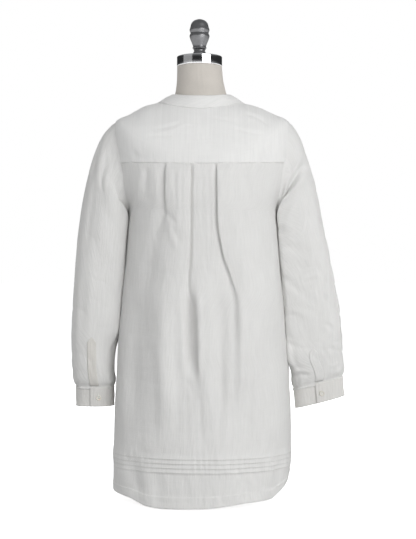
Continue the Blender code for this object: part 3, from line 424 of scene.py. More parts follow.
# Camera, brightness of the studio, and the lights by name, place, size and power
CAMERA_PLACE = (0.0172, -2.64, 0.490)
LENS = 82.0
GROUND = 0.25
RAIL = 0.03
CEILING = 0.36
FLOOR_GLOW = 0.78
LAMP_AIM = (0.0, 0.0, 0.5)
GLOSSY_LAMPS = ("key", "left_fill")
LIGHTS = (
    ("key", (1.88, -2.59, 1.3), (2.4, 2.2), 67.0),
    ("camera_fill", (-0.2, -3.4, 1.2), (2.4, 1.6), 27.0),
    ("left_fill", (-2.85, -1.45, 1.0), (3.0, 2.2), 6.2),
    ("left_soft", (-2.85, -1.45, 1.1), (3.0, 2.2), 6.0),
    ("left_rim", (-3.0, 0.8, 0.9), (1.6, 1.8), 15.0),
    ("right_rim", (3.0, 0.9, 0.9), (1.6, 1.8), 12.0),
    ("front_fill", (0.2, 3.2, 1.6), (2.4, 2.2), 60.0),
)

# Stitches
STITCH_LENGTH = 2.1
STITCH_PITCH = 2.9
STITCH_RADIUS = 0.21
EDGE_STITCH = 1.6
HEM_STITCH = 2.0
CUFF_STITCH = EDGE_STITCH + 0.6
COLLAR_LOW_STITCH = 4.6


def ease(share):
    """Smooth step from 0 to 1."""
    share = np.clip(share, 0.0, 1.0)
    return share * share * (3.0 - 2.0 * share)


def blend(first, last, share):
    return first + (last - first) * share


def signed(angle):
    """The same angle between -180 and 180."""
    return (angle + 180.0) % 360.0 - 180.0


def sine(angle):
    return np.sin(np.radians(angle))


def cosine(angle):
    return np.cos(np.radians(angle))


def points_of(*axes):
    """Points from their coordinates, each a grid or a number."""
    return np.stack(np.broadcast_arrays(*axes), axis=-1)


def unit(vectors):
    return vectors / np.maximum(np.linalg.norm(vectors, axis=-1, keepdims=True), 1e-9)


def distances(points, axis=0):
    """Distances along a line or a grid of points from its start."""
    steps = np.linalg.norm(np.diff(points, axis=axis), axis=-1)
    return np.insert(np.cumsum(steps, axis=axis), 0, 0.0, axis=axis)


def read(table, key):
    """A table's named columns at any keys, smoothly and without overshoot."""
    rows = np.array(sorted(table), dtype=float)
    keys, values = rows[:, 0], rows[:, 1:]
    span = np.diff(keys)
    slope = np.diff(values, axis=0) / span[:, None]
    product, total = slope[1:] * slope[:-1], slope[1:] + slope[:-1]
    inner = np.where(product > 0.0, 2.0 * product / np.where(product > 0.0, total, 1.0), 0.0)
    joint = np.vstack([slope[:1], inner, slope[-1:]])
    key = np.clip(np.asarray(key, dtype=float), keys[0], keys[-1])
    low = np.clip(np.searchsorted(keys, key) - 1, 0, len(span) - 1)
    share = ((key - keys[low]) / span[low])[..., None]
    bend = share * (1.0 - share) * span[low][..., None]
    found = blend(values[low], values[low + 1], ease(share))
    found = found + bend * ((1.0 - share) * joint[low] - share * joint[low + 1])
    return type(table[0])(key, *np.moveaxis(found, -1, 0))


def section(row, angle):
    """Points of a rounded section at angles from the middle of the back."""
    across, back = sine(angle), cosine(angle)
    power = 2.0 / row.power
    x = row.shift + np.sign(across) * row.half_width * np.abs(across) ** power
    depth = np.where(back >= 0.0, row.back_depth, row.front_depth)
    y = -np.sign(back) * depth * np.abs(back) ** power
    middle = np.where(back >= 0.0, row.level, row.front)
    return points_of(x, y, blend(row.side, middle, back * back))


def body(angle, level):
    return section(read(LEVELS, level), angle)


def lifted(angle, level, lift):
    """Points of the body's surface, moved out along its normal."""
    round_it = body(angle + 0.2, level) - body(angle - 0.2, level)
    up_it = body(angle, level + 0.5) - body(angle, level - 0.5)
    return body(angle, level) + unit(np.cross(round_it, up_it)) * np.asarray(lift)[..., None]


def armhole_angle(level, front=False):
    """Angle of the armhole's edge at a level, or of the side seam below it."""
    row = read(ARMHOLE_BY_LEVEL, level)
    angle = SIDE_SEAM + row.front if front else SIDE_SEAM - row.back
    return np.where(np.asarray(level) <= ARMPIT_LEVEL, SIDE_SEAM, angle)


def armhole_edge(turn):
    """Angle and level of the right armhole's edge, by the turn from its top towards the back."""
    turn = signed(turn)
    row = read(ARMHOLE, np.abs(turn))
    return np.where(turn > 0.0, SIDE_SEAM - row.back, SIDE_SEAM + row.front), row.level


def hem_height(angle):
    """Height of the hem's edge at an angle."""
    across = sine(angle)
    side = np.where(across > 0.0, HEM[-1].height, HEM[0].height)
    front = blend(HEM_FRONT, side, np.abs(across) ** HEM_CORNER)
    return np.where(cosine(angle) >= 0.0, read(HEM, signed(angle)).height, front)


def hem_wave(angle, level):
    """Slow waves of the cloth, deepest at the hem."""
    fade = cosine(angle) ** 2 * (1.0 - ease(level / WAVE_TOP))
    return WAVE_DEPTH * fade * sine(WAVE_COUNT * angle + WAVE_TURN)


def tuck_lift(level):
    """Rise over the tucks: a slope down to each edge, then a step back."""
    below = TOP_TUCK_EDGE + TUCK_PITCH - TUCK_STEP - level
    slope = TUCK_PITCH - TUCK_STEP
    share = np.mod(below, TUCK_PITCH) / slope
    falling = (TUCK_PITCH / slope - share) / (TUCK_STEP / slope)
    rise = TUCK_RISE * np.where(share <= 1.0, share, falling)
    return np.where((below <= 0.0) | (level < TUCK_END), 0.0, rise)


def noise(points, size, seed):
    """Smooth random values from -1 to 1 at points, on a lattice of a given cell size."""
    count = 24
    lattice = np.random.RandomState(seed).uniform(-1.0, 1.0, (count, count, count))
    place = points / np.asarray(size, dtype=float)
    base = np.floor(place).astype(int)
    share = ease(place - base)
    total = np.zeros(points.shape[:-1])
    for corner in np.ndindex(2, 2, 2):
        near = np.prod(np.where(np.array(corner) == 1, share, 1.0 - share), axis=-1)
        index = (base + np.array(corner)) % count
        total += lattice[index[..., 0], index[..., 1], index[..., 2]] * near
    return total


def crumple(points, size, seed, sharp):
    """Thin creases between flatter patches, near 1 on a crease."""
    return (1.0 - np.abs(noise(points, size, seed))) ** sharp


def worn(points, seed, layers, total=0.0, sharp=5.0):
    """A total with the layers of fine unevenness added."""
    for amount, size, step in layers:
        if amount > 0.0:
            total = total + amount * noise(points, size, seed + step)
        else:
            total = total + amount * crumple(points, size, seed + step, sharp)
    return total


def creases(u, v, table):
    """Depth of all the creases of a table at places (u, v)."""
    total = np.zeros(np.broadcast(u, v).shape)
    for crease in table:
        run, rise = crease.u1 - crease.u0, crease.v1 - crease.v0
        length = math.hypot(run, rise)
        across, up = u - crease.u0, v - crease.v0
        share = (across * run + up * rise) / length ** 2
        side = (across * rise - up * run) / length
        reach = (side - crease.bow * 4.0 * share * (1.0 - share)) / crease.width
        profile = np.exp(-reach * reach) - 0.4 * np.exp(-(np.abs(reach) - 1.9) ** 2)
        total += crease.depth * profile * ease(share / 0.3) * ease((1.0 - share) / 0.3)
    return total


class Cloth:
    """A sheet's outer face as a grid of points, rows from its top down and columns round it."""

    def __init__(self, points, closed=False):
        self.closed = closed
        self.points = points
        self.grain = None
        self.measure()

    def measure(self):
        """Normals, and distances along the rows and columns."""
        points = self.points
        if self.closed:
            along_row = np.roll(points, -1, axis=1) - np.roll(points, 1, axis=1)
        else:
            along_row = np.gradient(points, axis=1)
        self.normals = unit(np.cross(along_row, -np.gradient(points, axis=0)))
        self.down, self.across = distances(points), distances(points, axis=1)
        self.up = self.down[-1] - self.down
        self.back_across = self.across[:, -1:] - self.across

    def move(self, lift):
        """Move the face out by a lift for each point."""
        self.points = self.points + self.normals * np.asarray(lift)[..., None]
        self.measure()

    def at(self, column, row):
        """Points and normals at fractional columns and rows."""
        rows, columns = self.points.shape[:2]
        column, row = np.broadcast_arrays(np.asarray(column, float), np.asarray(row, float))
        column = column % columns if self.closed else np.clip(column, 0.0, columns - 1.001)
        row = np.clip(row, 0.0, rows - 1.001)
        left, top = np.floor(column).astype(int), np.floor(row).astype(int)
        right = (left + 1) % columns
        s, t = (column - left)[..., None], (row - top)[..., None]
        point, normal = (blend(blend(grid[top, left], grid[top, right], s),
                               blend(grid[top + 1, left], grid[top + 1, right], s), t)
                         for grid in (self.points, self.normals))
        return point, unit(normal)

    def line(self, distance, edge, start=0.0, end=1.0):
        """Points and normals along the top, bottom, left or right edge, at a distance from it."""
        level = edge in ("top", "bottom")
        places = self.down.T if level else self.across
        last = len(places) - 1
        picked = np.arange(int(start * last), int(end * last) + 1)
        found = []
        for place in places[picked]:
            target = distance if edge in ("top", "left") else place[-1] - distance
            found.append(np.interp(target, place, np.arange(len(place))))
        return self.at(picked, np.array(found)) if level else self.at(np.array(found), picked)


def linked(name, data):
    """A new object in the scene, for a mesh, a light or a camera."""
    item = bpy.data.objects.new(name, data)
    bpy.context.scene.collection.objects.link(item)
    return item


def mesh_object(name, points, faces, material, slot, nodes=(), uv=None, wrap=None):
    """A smooth piece from points in millimetres, on the part's only body, for the named solids.

    Where a weave goes round a tube, wrap is each point's length to add in faces closing the ring.
    """
    mesh = bpy.data.meshes.new(name)
    mesh.from_pydata((np.asarray(points).reshape(-1, 3) * MM).tolist(), [], faces)
    if uv is not None:
        layer = mesh.uv_layers.new(name="weave")
        corner = np.zeros(len(mesh.loops), dtype=int)
        mesh.loops.foreach_get("vertex_index", corner)
        place = uv[corner]
        if wrap is not None:
            added = wrap[corner].reshape(-1, 4)
            closing = (added > 0.0).any(axis=1) & (added < 0.0).any(axis=1)
            place[:, 0] += (np.maximum(added, 0.0) * closing[:, None]).ravel()
        layer.data.foreach_set("uv", (place * MM).astype(np.float32).ravel())
    mesh.shade_smooth()
    mesh.materials.append(material)
    item = linked(name, mesh)
    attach(item, "root")
    if nodes:
        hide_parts(*nodes)
    return item


def grid_quads(rows, columns, closed, first=0, flipped=False):
    """Quads of a grid of points, as lists of point numbers."""
    row, column = np.meshgrid(np.arange(rows - 1), np.arange(columns if closed else columns - 1),
                              indexing="ij")
    here = first + row * columns + column
    beside = first + row * columns + (column + 1) % columns
    quads = points_of(here, here + columns, beside + columns, beside).reshape(-1, 4)
    return quads[:, ::-1] if flipped else quads


def cloth_object(name, cloth, thickness, material, node):
    """A thin closed shell under a cloth's outer face, which stands for the named solid."""
    rows, columns = cloth.points.shape[:2]
    count, last = rows * columns, (rows - 1) * columns
    inner = cloth.points - cloth.normals * np.broadcast_to(thickness, cloth.down.shape)[..., None]
    end = np.arange(columns if cloth.closed else columns - 1)
    beside = (end + 1) % columns
    rims = [(end, beside, beside + count, end + count),
            (beside + last, end + last, end + last + count, beside + last + count)]
    if not cloth.closed:
        left = np.arange(rows - 1) * columns
        right = left + columns - 1
        rims += [(left + columns, left, left + count, left + columns + count),
                 (right, right + columns, right + columns + count, right + count)]
    faces = np.concatenate([grid_quads(rows, columns, cloth.closed),
                            grid_quads(rows, columns, cloth.closed, count, flipped=True)]
                           + [points_of(*rim) for rim in rims]).tolist()
    uv = points_of(*([cloth.across, -cloth.down] if cloth.grain is None else cloth.grain))
    wrap = None
    if cloth.closed:
        wrap = np.zeros((rows, columns))
        closing = np.linalg.norm(cloth.points[:, 0] - cloth.points[:, -1], axis=-1)
        wrap[:, 0] = cloth.across[:, -1] + closing
        wrap[:, -1] = -1.0
        wrap = np.tile(wrap.ravel(), 2)
    points = np.concatenate([cloth.points, inner])
    uv = np.tile(uv.reshape(-1, 2), (2, 1))
    return mesh_object(name, points, faces, material, "linen", [node], uv, wrap)


# Materials

WHITE = (1.0, 1.0, 1.0)


def shade_by(color, factor):
    """A darker colour, with its alpha."""
    return (*(part * factor for part in color), 1.0)


class Nodes:
    """A node tree, with short ways to add and join nodes."""

    def __init__(self, tree):
        self.tree = tree

    def add(self, kind, constants=None, **settings):
        """A new node with its settings and its constant sockets."""
        node = self.tree.nodes.new(kind)
        for name, value in settings.items():
            setattr(node, name, value)
        for name, value in (constants or {}).items():
            node.inputs[name].default_value = value
        return node

    def join(self, source, target):
        self.tree.links.new(source, target)

    def math(self, operation, *values):
        node = self.add("ShaderNodeMath", operation=operation)
        for socket, value in zip(node.inputs, values):
            if isinstance(value, (int, float)):
                socket.default_value = value
            else:
                self.join(value, socket)
        return node.outputs["Value"]

    def plus(self, first, second):
        return self.math("ADD", first, second)

    def times(self, first, second):
        return self.math("MULTIPLY", first, second)


class Shader(Nodes):
    """A material's nodes round its main surface."""

    def __init__(self, name, color, roughness, metallic=0.0):
        self.material = bpy.data.materials.new(name)
        self.material.use_nodes = True
        super().__init__(self.material.node_tree)
        self.color = color
        self.surface = self.tree.nodes["Principled BSDF"]
        self.fix(Base_Color=(*color, 1.0), Roughness=roughness, Metallic=metallic)
        self.material.diffuse_color = (*color, 1.0)

    def fix(self, **values):
        for name, value in values.items():
            self.surface.inputs[name.replace("_", " ")].default_value = value

    def place(self):
        return self.add("ShaderNodeTexCoord").outputs["Object"]

    def noise(self, place, scale, detail=3.0, stretch=WHITE):
        """Noise of a scale over a place, squeezed along its axes."""
        mapping = self.add("ShaderNodeMapping", {"Scale": stretch})
        self.join(place, mapping.inputs["Vector"])
        texture = self.add("ShaderNodeTexNoise", {"Scale": scale, "Detail": detail})
        self.join(mapping.outputs["Vector"], texture.inputs["Vector"])
        return texture.outputs["Fac"]

    def tint(self, factor, share, low=0.3, high=0.7):
        """Let the colour fall to a share of itself where a factor is low."""
        ramp = self.add("ShaderNodeValToRGB")
        for stop, position, part in zip(ramp.color_ramp.elements, (low, high), (share, 1.0)):
            stop.position = position
            stop.color = shade_by(self.color, part)
        self.join(factor, ramp.inputs["Fac"])
        self.join(ramp.outputs["Color"], self.surface.inputs["Base Color"])

    def bump(self, height, depth, strength):
        node = self.add("ShaderNodeBump", {"Strength": strength, "Distance": depth})
        self.join(height, node.inputs["Height"])
        self.join(node.outputs["Normal"], self.surface.inputs["Normal"])
        return node.outputs["Normal"]


def linen(name, color, see_through):
    """Plain-weave linen with uneven yarns, a soft nap, and some light through it."""
    made = Shader(name, color, 0.86)
    place = made.add("ShaderNodeUVMap", uv_map="weave").outputs["UV"]
    parts = made.add("ShaderNodeSeparateXYZ")
    made.join(place, parts.inputs["Vector"])
    yarn = 2.0 * math.pi / (WEAVE_PITCH * MM)
    wander = made.times(made.noise(place, 160.0), 9.0)
    waves = [made.math("SINE", made.plus(made.times(parts.outputs[axis], yarn), wander))
             for axis in "XY"]
    slubs = made.plus(made.noise(place, 30.0, 5.0, (11.0, 0.7, 1.0)),
                      made.times(made.noise(place, 30.0, 5.0, (0.7, 13.0, 1.0)), 0.3))
    patches = made.noise(place, 14.0, 2.0)
    made.tint(made.plus(made.times(slubs, 0.5), made.times(patches, 0.2)), 0.93, 0.3, 0.52)
    crinkle = made.noise(place, 34.0, 4.0, (4.5, 1.1, 1.0))
    relief = made.plus(made.times(made.times(*waves), 0.02), slubs)
    normal = made.bump(made.plus(relief, made.times(crinkle, 2.4)), 0.0007, 0.6)
    made.fix(Sheen_Weight=0.18, Sheen_Roughness=0.55, Sheen_Tint=(*WHITE, 1.0),
             Specular_IOR_Level=0.22)
    through = made.add("ShaderNodeBsdfTranslucent", {"Color": shade_by(color, 0.97)})
    made.join(normal, through.inputs["Normal"])
    mixed = made.add("ShaderNodeMixShader", {"Fac": see_through})
    made.join(made.surface.outputs["BSDF"], mixed.inputs[1])
    made.join(through.outputs["BSDF"], mixed.inputs[2])
    made.join(mixed.outputs["Shader"], made.tree.nodes["Material Output"].inputs["Surface"])
    return made.material


def stretched_cover(name, color):
    """Fine knit drawn tight over the form."""
    made = Shader(name, color, 0.9)
    place = made.place()
    knit = made.noise(place, 900.0, 2.0, (1.0, 1.0, 0.6))
    soft = made.noise(place, 30.0, 2.0)
    made.tint(made.plus(made.times(knit, 0.5), made.times(soft, 0.5)), 0.88)
    made.bump(knit, 0.0003, 0.5)
    made.fix(Sheen_Weight=0.15, Specular_IOR_Level=0.25)
    return made.material


def shell(name, color):
    made = Shader(name, color, 0.3)
    made.tint(made.noise(made.place(), 260.0, 3.0, (1.0, 1.0, 0.4)), 0.82)
    made.fix(Coat_Weight=0.35, Coat_Roughness=0.12, Subsurface_Weight=0.1, Subsurface_Scale=0.002)
    return made.material


def metal(name, color, roughness, metallic, grain=0.0):
    """Metal or metal paint, with slight unevenness in its gloss."""
    made = Shader(name, color, roughness, metallic)
    place = made.place()
    cloud = made.noise(place, 90.0)
    made.tint(cloud, 0.9)
    gloss = made.plus(made.times(cloud, 0.08), roughness - 0.04)
    made.join(gloss, made.surface.inputs["Roughness"])
    if grain:
        made.bump(made.noise(place, 1400.0, 2.0), grain, 0.4)
    return made.material


def board(name, color):
    made = Shader(name, color, 0.55)
    grain = made.noise(made.place(), 14.0, 6.0, (1.0, 14.0, 14.0))
    made.tint(grain, 0.6)
    made.bump(grain, 0.0004, 0.5)
    return made.material


LINEN_SINGLE = linen("linen_single", (0.90, 0.895, 0.88), 0.23)
LINEN_DOUBLE = linen("linen_double", (0.90, 0.895, 0.88), 0.1)
# Painted shade: the cuffs get a darker, warmer copy of the linen, for the shade that falls on them
LINEN_CUFF_PAINTED_SHADE = linen("linen_cuff_painted_shade", (0.79, 0.777, 0.75), 0.1)
# Painted shade: the left sleeve placket gets a darker, warmer copy of the linen, for the shade on it;
# the right placket is plain single linen
LINEN_STRIP_LEFT_SHADED = {"left": linen("linen_strip_painted_shade", (0.77, 0.75, 0.71), 0.1), "right": LINEN_SINGLE}
THREAD = Shader("thread", (0.90, 0.89, 0.87), 0.7)
THREAD.bump(THREAD.noise(THREAD.place(), 2500.0), 0.0001, 0.4)
SHELL = shell("shell_button", (0.80, 0.77, 0.70))
COVER = stretched_cover("form_cover", (0.64, 0.60, 0.55))
CHROME = metal("chrome", (0.86, 0.86, 0.87), 0.09, 1.0)
SILVER = metal("silver_paint", (0.19, 0.19, 0.195), 0.34, 0.8, 0.00008)
STAND = {"base_disc": board("board", (0.42, 0.29, 0.18))}
STAND["column"] = STAND["base_plate"] = metal("black_steel", (0.05, 0.05, 0.05), 0.42, 0.5, 0.0001)


# Panels

def panel_levels(top):
    """Levels of a panel's rows, closest at the tucks."""
    tuck_top = TOP_TUCK_EDGE + TUCK_PITCH - TUCK_STEP
    levels = list(np.linspace(top, tuck_top, round((top - tuck_top) / ROW_STEP)))
    for tuck in range(TUCKS):
        start, edge = levels[-1], TOP_TUCK_EDGE - tuck * TUCK_PITCH
        levels += [blend(start, edge, share) for share in (0.35, 0.7, 0.93, 1.0)]
        levels += [edge - 0.35 * TUCK_STEP, edge - TUCK_STEP]
    below = list(np.linspace(levels[-1], HEM_FOLD + 1.0, 11)[1:])
    return np.array(levels + below + [HEM_FOLD, HEM_FOLD - 1.0] + list(np.linspace(22.0, 0.0, 9)))


def with_hem(points, angle, level):
    """The same points, with those below the tucks let down to the hem's curve."""
    height = blend(hem_height(angle), TUCK_END, level / TUCK_END)
    points[..., 2] = np.where(level < TUCK_END, height, points[..., 2])
    return points


def rumple(points, seed):
    """Fine unevenness of worn linen, mostly up and down."""
    return worn(points[..., [0, 2, 1]] * np.array([1.0, 1.0, 0.3]), seed, PANEL_WEAR)


def puckers(distance, along, reach, seed):
    """Short ripples that run out from a stitched line over a reach."""
    fade = np.exp(-(distance / reach) ** 2)
    ripple = noise(points_of(along, 0.2 * distance, 0.0), (5.5, 14.0, 10.0), seed)
    return PUCKER * fade * ripple


def hem_puckers(level, along, seed):
    return HEM_PUCKER * puckers(level - HEM_FOLD + 4.0, along, 12.0, seed)


def tuck_ribs(level, along, seed):
    """Fine upright ripples that the tucks' stitching draws up."""
    fade = ease((level - TUCK_END + 14.0) / 12.0) * ease((TOP_TUCK_EDGE + 34.0 - level) / 30.0)
    return TUCK_RIB * fade * worn(points_of(along, 0.12 * level, 0.0), seed, TUCK_WEAR)


def panel_lift(shape, level, strength=1.0):
    """Lift of a panel's face with its tucks, at a strength, and its turned hem."""
    turned = HEM_RISE * ease((HEM_FOLD + 0.5 - level) / 1.5)
    return SOLID_HALF + shape + tuck_lift(level) * strength + turned


def edge_puckers(cloth, along, amount, low_stitch, seed):
    """Ripples by the stitches at a band's top, and at a distance from its bottom."""
    top = puckers(cloth.down - EDGE_STITCH - 1.0, along, 4.0, seed)
    return [amount * top, amount * puckers(cloth.up - low_stitch, along, 4.0, seed + 1)]


def pleated_back(level):
    """Places across and lifts of the back's columns at each level, and the lift of the troughs."""
    folds = [read(pleat, level) for pleat in PLEATS]
    limit = armhole_angle(level)
    stops = [body(-limit, level)[..., 0]]
    for fold in folds:
        stops += [fold.place - fold.run, fold.place + fold.run]
    stops.append(body(limit, level)[..., 0])
    places, lifts = [], []
    base = np.zeros_like(level)
    for stretch, steps in enumerate(FLAT_STEPS):
        start, end = stops[2 * stretch], stops[2 * stretch + 1]
        for step in range(steps + 1):
            place = blend(start, end, step / steps)
            fade = 1.0 - ease((place - start) / RIGHT_FADE) if stretch == 3 else 1.0
            places.append(place)
            lifts.append(base * fade)
        if stretch < len(folds):
            fold = folds[stretch]
            for step in range(1, FOLD_STEPS):
                turn = 2.0 * step / FOLD_STEPS - 1.0
                doubled = fold.doubling * math.sin(math.pi * turn)
                places.append(fold.place + fold.run * turn - doubled)
                reach = (turn + np.sign(fold.rise) * GROOVE_PLACE) / GROOVE_RUNS[stretch]
                deep = FOLD_GROOVES[stretch] * fold.doubling / GROOVE_FULL
                groove = deep * np.exp(-reach * reach)
                lifts.append(base + fold.rise * ease((turn + 1.0) / 2) - groove)
            base = base + fold.rise
    return np.stack(places, axis=1), np.stack(lifts, axis=1), folds, limit


def back_angles(places, level, limit):
    """Angles of the back's columns, even between each side and the nearest pleat."""
    row = read(LEVELS, level)
    across = np.clip((places - row.shift[:, None]) / row.half_width[:, None], -0.999, 0.999)
    across = np.sign(across) * np.abs(across) ** (row.power[:, None] / 2.0)
    angles = np.degrees(np.arcsin(across))
    left, right = FLAT_STEPS[0], FLAT_STEPS[-1]
    share = np.arange(left + 1) / left
    angles[:, :left + 1] = blend(-limit[:, None], angles[:, left][:, None], share[None, :])
    share = np.arange(right, -1, -1) / right
    first = angles.shape[1] - 1 - right
    angles[:, first:] = blend(limit[:, None], angles[:, first][:, None], share[None, :])
    return angles


def make_back():
    """Outer face of the back, from just under the yoke to the hem."""
    levels = panel_levels(YOKE_LEVEL + BACK_UNDER)
    places, lifts, folds, limit = pleated_back(levels)
    angles = back_angles(places, levels, limit)
    level = np.broadcast_to(levels[:, None], angles.shape)
    from_top = YOKE_LEVEL - level
    x = body(angles, level)[..., 0]
    for fold in folds:
        reach = (x - fold.place[:, None]) / fold.trough_run[:, None]
        lifts = lifts - fold.trough[:, None] * np.exp(-reach * reach)
    inside = ease((limit[:, None] - np.abs(angles)) / SEAM_FADE)
    sink = STRIP_SINK * ease((-1.0 - from_top) / STRIP_SINK_RUN) * inside
    pressed = blend(PRESSED_SHARE, 1.0, ease(from_top / PRESSED_RUN))
    lift = (lifts * pressed + hem_wave(angles, level)) * inside - sink
    cloth = Cloth(with_hem(lifted(angles, level, lift), angles, level))
    near_edge = ease((limit[:, None] - np.abs(angles)) / 4.0)
    x, z = cloth.points[..., 0], cloth.points[..., 2]
    free = blend(0.35, 1.0, near_edge) * ease((from_top + 2.0) / 26.0)
    shape = creases(x, z, BACK_CREASES) * blend(0.3, 1.0, ease((from_top - 2.0) / 20.0))
    shape = shape + BACK_RUMPLE * rumple(cloth.points, BACK_SEED) * free
    shape = shape + puckers(from_top, x, 9.0, BACK_SEED + 20)
    shape = shape + hem_puckers(level, x, BACK_SEED + 21)
    shape = (shape + tuck_ribs(level, x, BACK_SEED + 24)) * near_edge
    # The tucks rise less towards the sides
    strength = blend(0.35, 1.0, ease((x + 125.0) / 50.0))
    strength = strength * blend(0.55, 1.0, ease((150.0 - x) / 40.0))
    under_yoke = SOLID_HALF - UNDER_SINK + np.minimum(shape, 0.0)
    cloth.move(np.where(from_top < -1.0, under_yoke, panel_lift(shape, level, strength)))
    cloth.levels = levels
    return cloth


def make_front():
    """Outer face of the front, from the neck and the yoke's front seams to the hem."""
    seam_angle, seam_level = armhole_edge(-YOKE_FRONT_TURN)
    top_levels = np.linspace(NECK_LEVEL - SEAM_GAP, seam_level, 20)[:-1]
    levels = np.concatenate([top_levels, panel_levels(float(seam_level))])
    slope = (levels - seam_level) / (NECK_LEVEL - seam_level)
    upper = blend(seam_angle, YOKE_FRONT_NECK, slope) - FRONT_UNDER_YOKE
    lower = armhole_angle(levels, front=True)
    lower = lower - FRONT_UNDER_SIDE * ease((ARMPIT_LEVEL - levels) / 12.0)
    edge = np.where(levels > seam_level, upper, lower)
    share = np.linspace(0.0, 1.0, FRONT_COLUMNS + 1)
    angles = blend(edge[:, None], 360.0 - edge[:, None], share[None, :])
    level = np.broadcast_to(levels[:, None], angles.shape)
    past = np.minimum(angles, 360.0 - angles) - edge[:, None]
    inside = ease(past / SEAM_FADE)
    points = lifted(angles, level, hem_wave(angles, level) * inside)
    cloth = Cloth(with_hem(points, angles, level))
    x, z = cloth.points[..., 0], cloth.points[..., 2]
    near_edge = ease(past / 4.0)
    free = near_edge * blend(0.4, 1.0, ease((np.abs(x) - 10.0) / 14.0))
    shape = creases(x, z, FRONT_CREASES) * free
    shape = shape + FRONT_RUMPLE * rumple(cloth.points, FRONT_SEED) * free
    shape = shape + hem_puckers(level, x, FRONT_SEED + 1) * near_edge
    shape = shape + tuck_ribs(level, x, FRONT_SEED + 4) * near_edge
    under = 1.1 * (1.0 - ease((past - 1.2) / 1.6))
    under = np.where((level > ARMPIT_LEVEL) & (level <= seam_level), 0.0, under)
    cloth.move(panel_lift(shape, level) - under)
    cloth.levels = levels
    return cloth


def make_yoke():
    """Outer face of the yoke, over both shoulders to its front seams."""
    across = np.linspace(-1.0, 1.0, YOKE_COLUMNS + 1)[None, :]
    up = np.linspace(1.0, 0.0, YOKE_ROWS + 1)[:, None]
    share = np.abs(across)
    corner = 90.0
    low_angle = armhole_edge(np.array(corner))[0] * share / YOKE_CORNER_SHARE
    past = np.clip((share - YOKE_CORNER_SHARE) / (1.0 - YOKE_CORNER_SHARE), 0.0, 1.0)
    edge_angle, edge_level = armhole_edge(blend(corner, -YOKE_FRONT_TURN, past))
    on_seam = share < YOKE_CORNER_SHARE
    low_angle = np.where(on_seam, low_angle, edge_angle)
    low_level = np.where(on_seam, YOKE_LEVEL - 1.0, edge_level)
    angle = blend(low_angle, YOKE_FRONT_NECK * share, up) * np.where(across < 0.0, -1.0, 1.0)
    level = blend(low_level, NECK_LEVEL - SEAM_GAP, up)
    cloth = Cloth(lifted(angle, level, np.full(level.shape, YOKE_LIFT)))
    x, z = cloth.points[..., 0], cloth.points[..., 2]
    back = ease((60.0 - cloth.points[..., 1]) / 30.0)
    edge = ease(cloth.up / 10.0) * ease(cloth.down / 8.0)
    edge = edge * ease(cloth.across / 8.0) * ease(cloth.back_across / 8.0)
    shape = creases(x, z, YOKE_CREASES) * back
    shape = worn(cloth.points[..., [0, 2, 1]], YOKE_SEED, YOKE_WEAR, shape) * edge
    over_strip = 1.0 - ease((cloth.up - BACK_UNDER - 2.0) / 10.0)
    shallow = np.maximum(shape, DIP_LIMIT * np.tanh(shape / DIP_LIMIT))
    shape = blend(shape, shallow, over_strip * (shape < 0.0))
    shape = shape + 1.4 * puckers(cloth.up - EDGE_STITCH, x, 6.0, YOKE_SEED + 3)
    ridge = SEAM_RIDGE * ease(cloth.up / 1.5) * (1.0 - ease((cloth.up - 2.5) / 6.0))
    groove = 0.25 * np.exp(-((cloth.up - EDGE_STITCH) / 0.9) ** 2)
    sides = np.minimum(cloth.across, cloth.back_across) / 4.0
    thin = ease(np.minimum(sides, blend(0.4, 1.0, cloth.up / 2.0)))
    cloth.move(DOUBLE_HALF - 0.25 + shape + ridge - groove - 0.45 * (1.0 - thin))
    cloth.grain = [x, z - cloth.points[..., 1]]
    return cloth


def make_collar():
    """Outer face of the band collar, whose ends lap at the middle of the front."""
    reach = CENTRE_FRONT + COLLAR_LAP / 2
    angle = np.linspace(-reach, reach, COLLAR_COLUMNS + 1)[None, :]
    up = np.linspace(1.0, -COLLAR_UNDER, COLLAR_ROWS + 1)[:, None]
    low = body(angle, np.full(angle.shape, NECK_LEVEL)) + np.array([0.0, 0.0, COLLAR_LIFT])
    high = section(COLLAR_TOP, angle)
    past = reach - np.abs(angle)
    aside = COLLAR_LAP_RISE * (1.0 - ease(past / COLLAR_LAP_FADE)) * np.sign(angle)
    bow = COLLAR_BOW * np.sin(np.pi * np.clip(up, 0.0, 1.0)) + 1.3 * ease(-up / 0.05)
    cloth = Cloth(low + (high - low) * up[..., None] + outward(angle) * (aside + bow)[..., None])
    shape = worn(cloth.points, COLLAR_SEED, COLLAR_WEAR)
    ripples = edge_puckers(cloth, angle * COLLAR_RUN, 0.7, 3.5, COLLAR_SEED + 2)
    cloth.move(DOUBLE_HALF + sum(ripples, shape))
    return cloth


# Sleeves

def outward(angle):
    """Level direction at an angle round the garment or a sleeve."""
    across, back = sine(angle), cosine(angle)
    return points_of(across, -back, 0.0)


def tube(row, side, angle):
    """Points of a sleeve's rings, whose planes hold their outer and inner lines."""
    hand = HANDS[side]
    across = sine(angle) * hand
    back = cosine(angle)
    power = 2.0 / row.power
    reach = np.sign(across) * np.abs(across) ** power
    depth = np.sign(back) * np.abs(back) ** power * row.half_depth
    x = hand * ((row.outer + row.inner) / 2 + (row.outer - row.inner) / 2 * reach)
    z = (row.outer_z + row.inner_z) / 2 + (row.outer_z - row.inner_z) / 2 * reach
    return points_of(x, row.forward - depth, z)


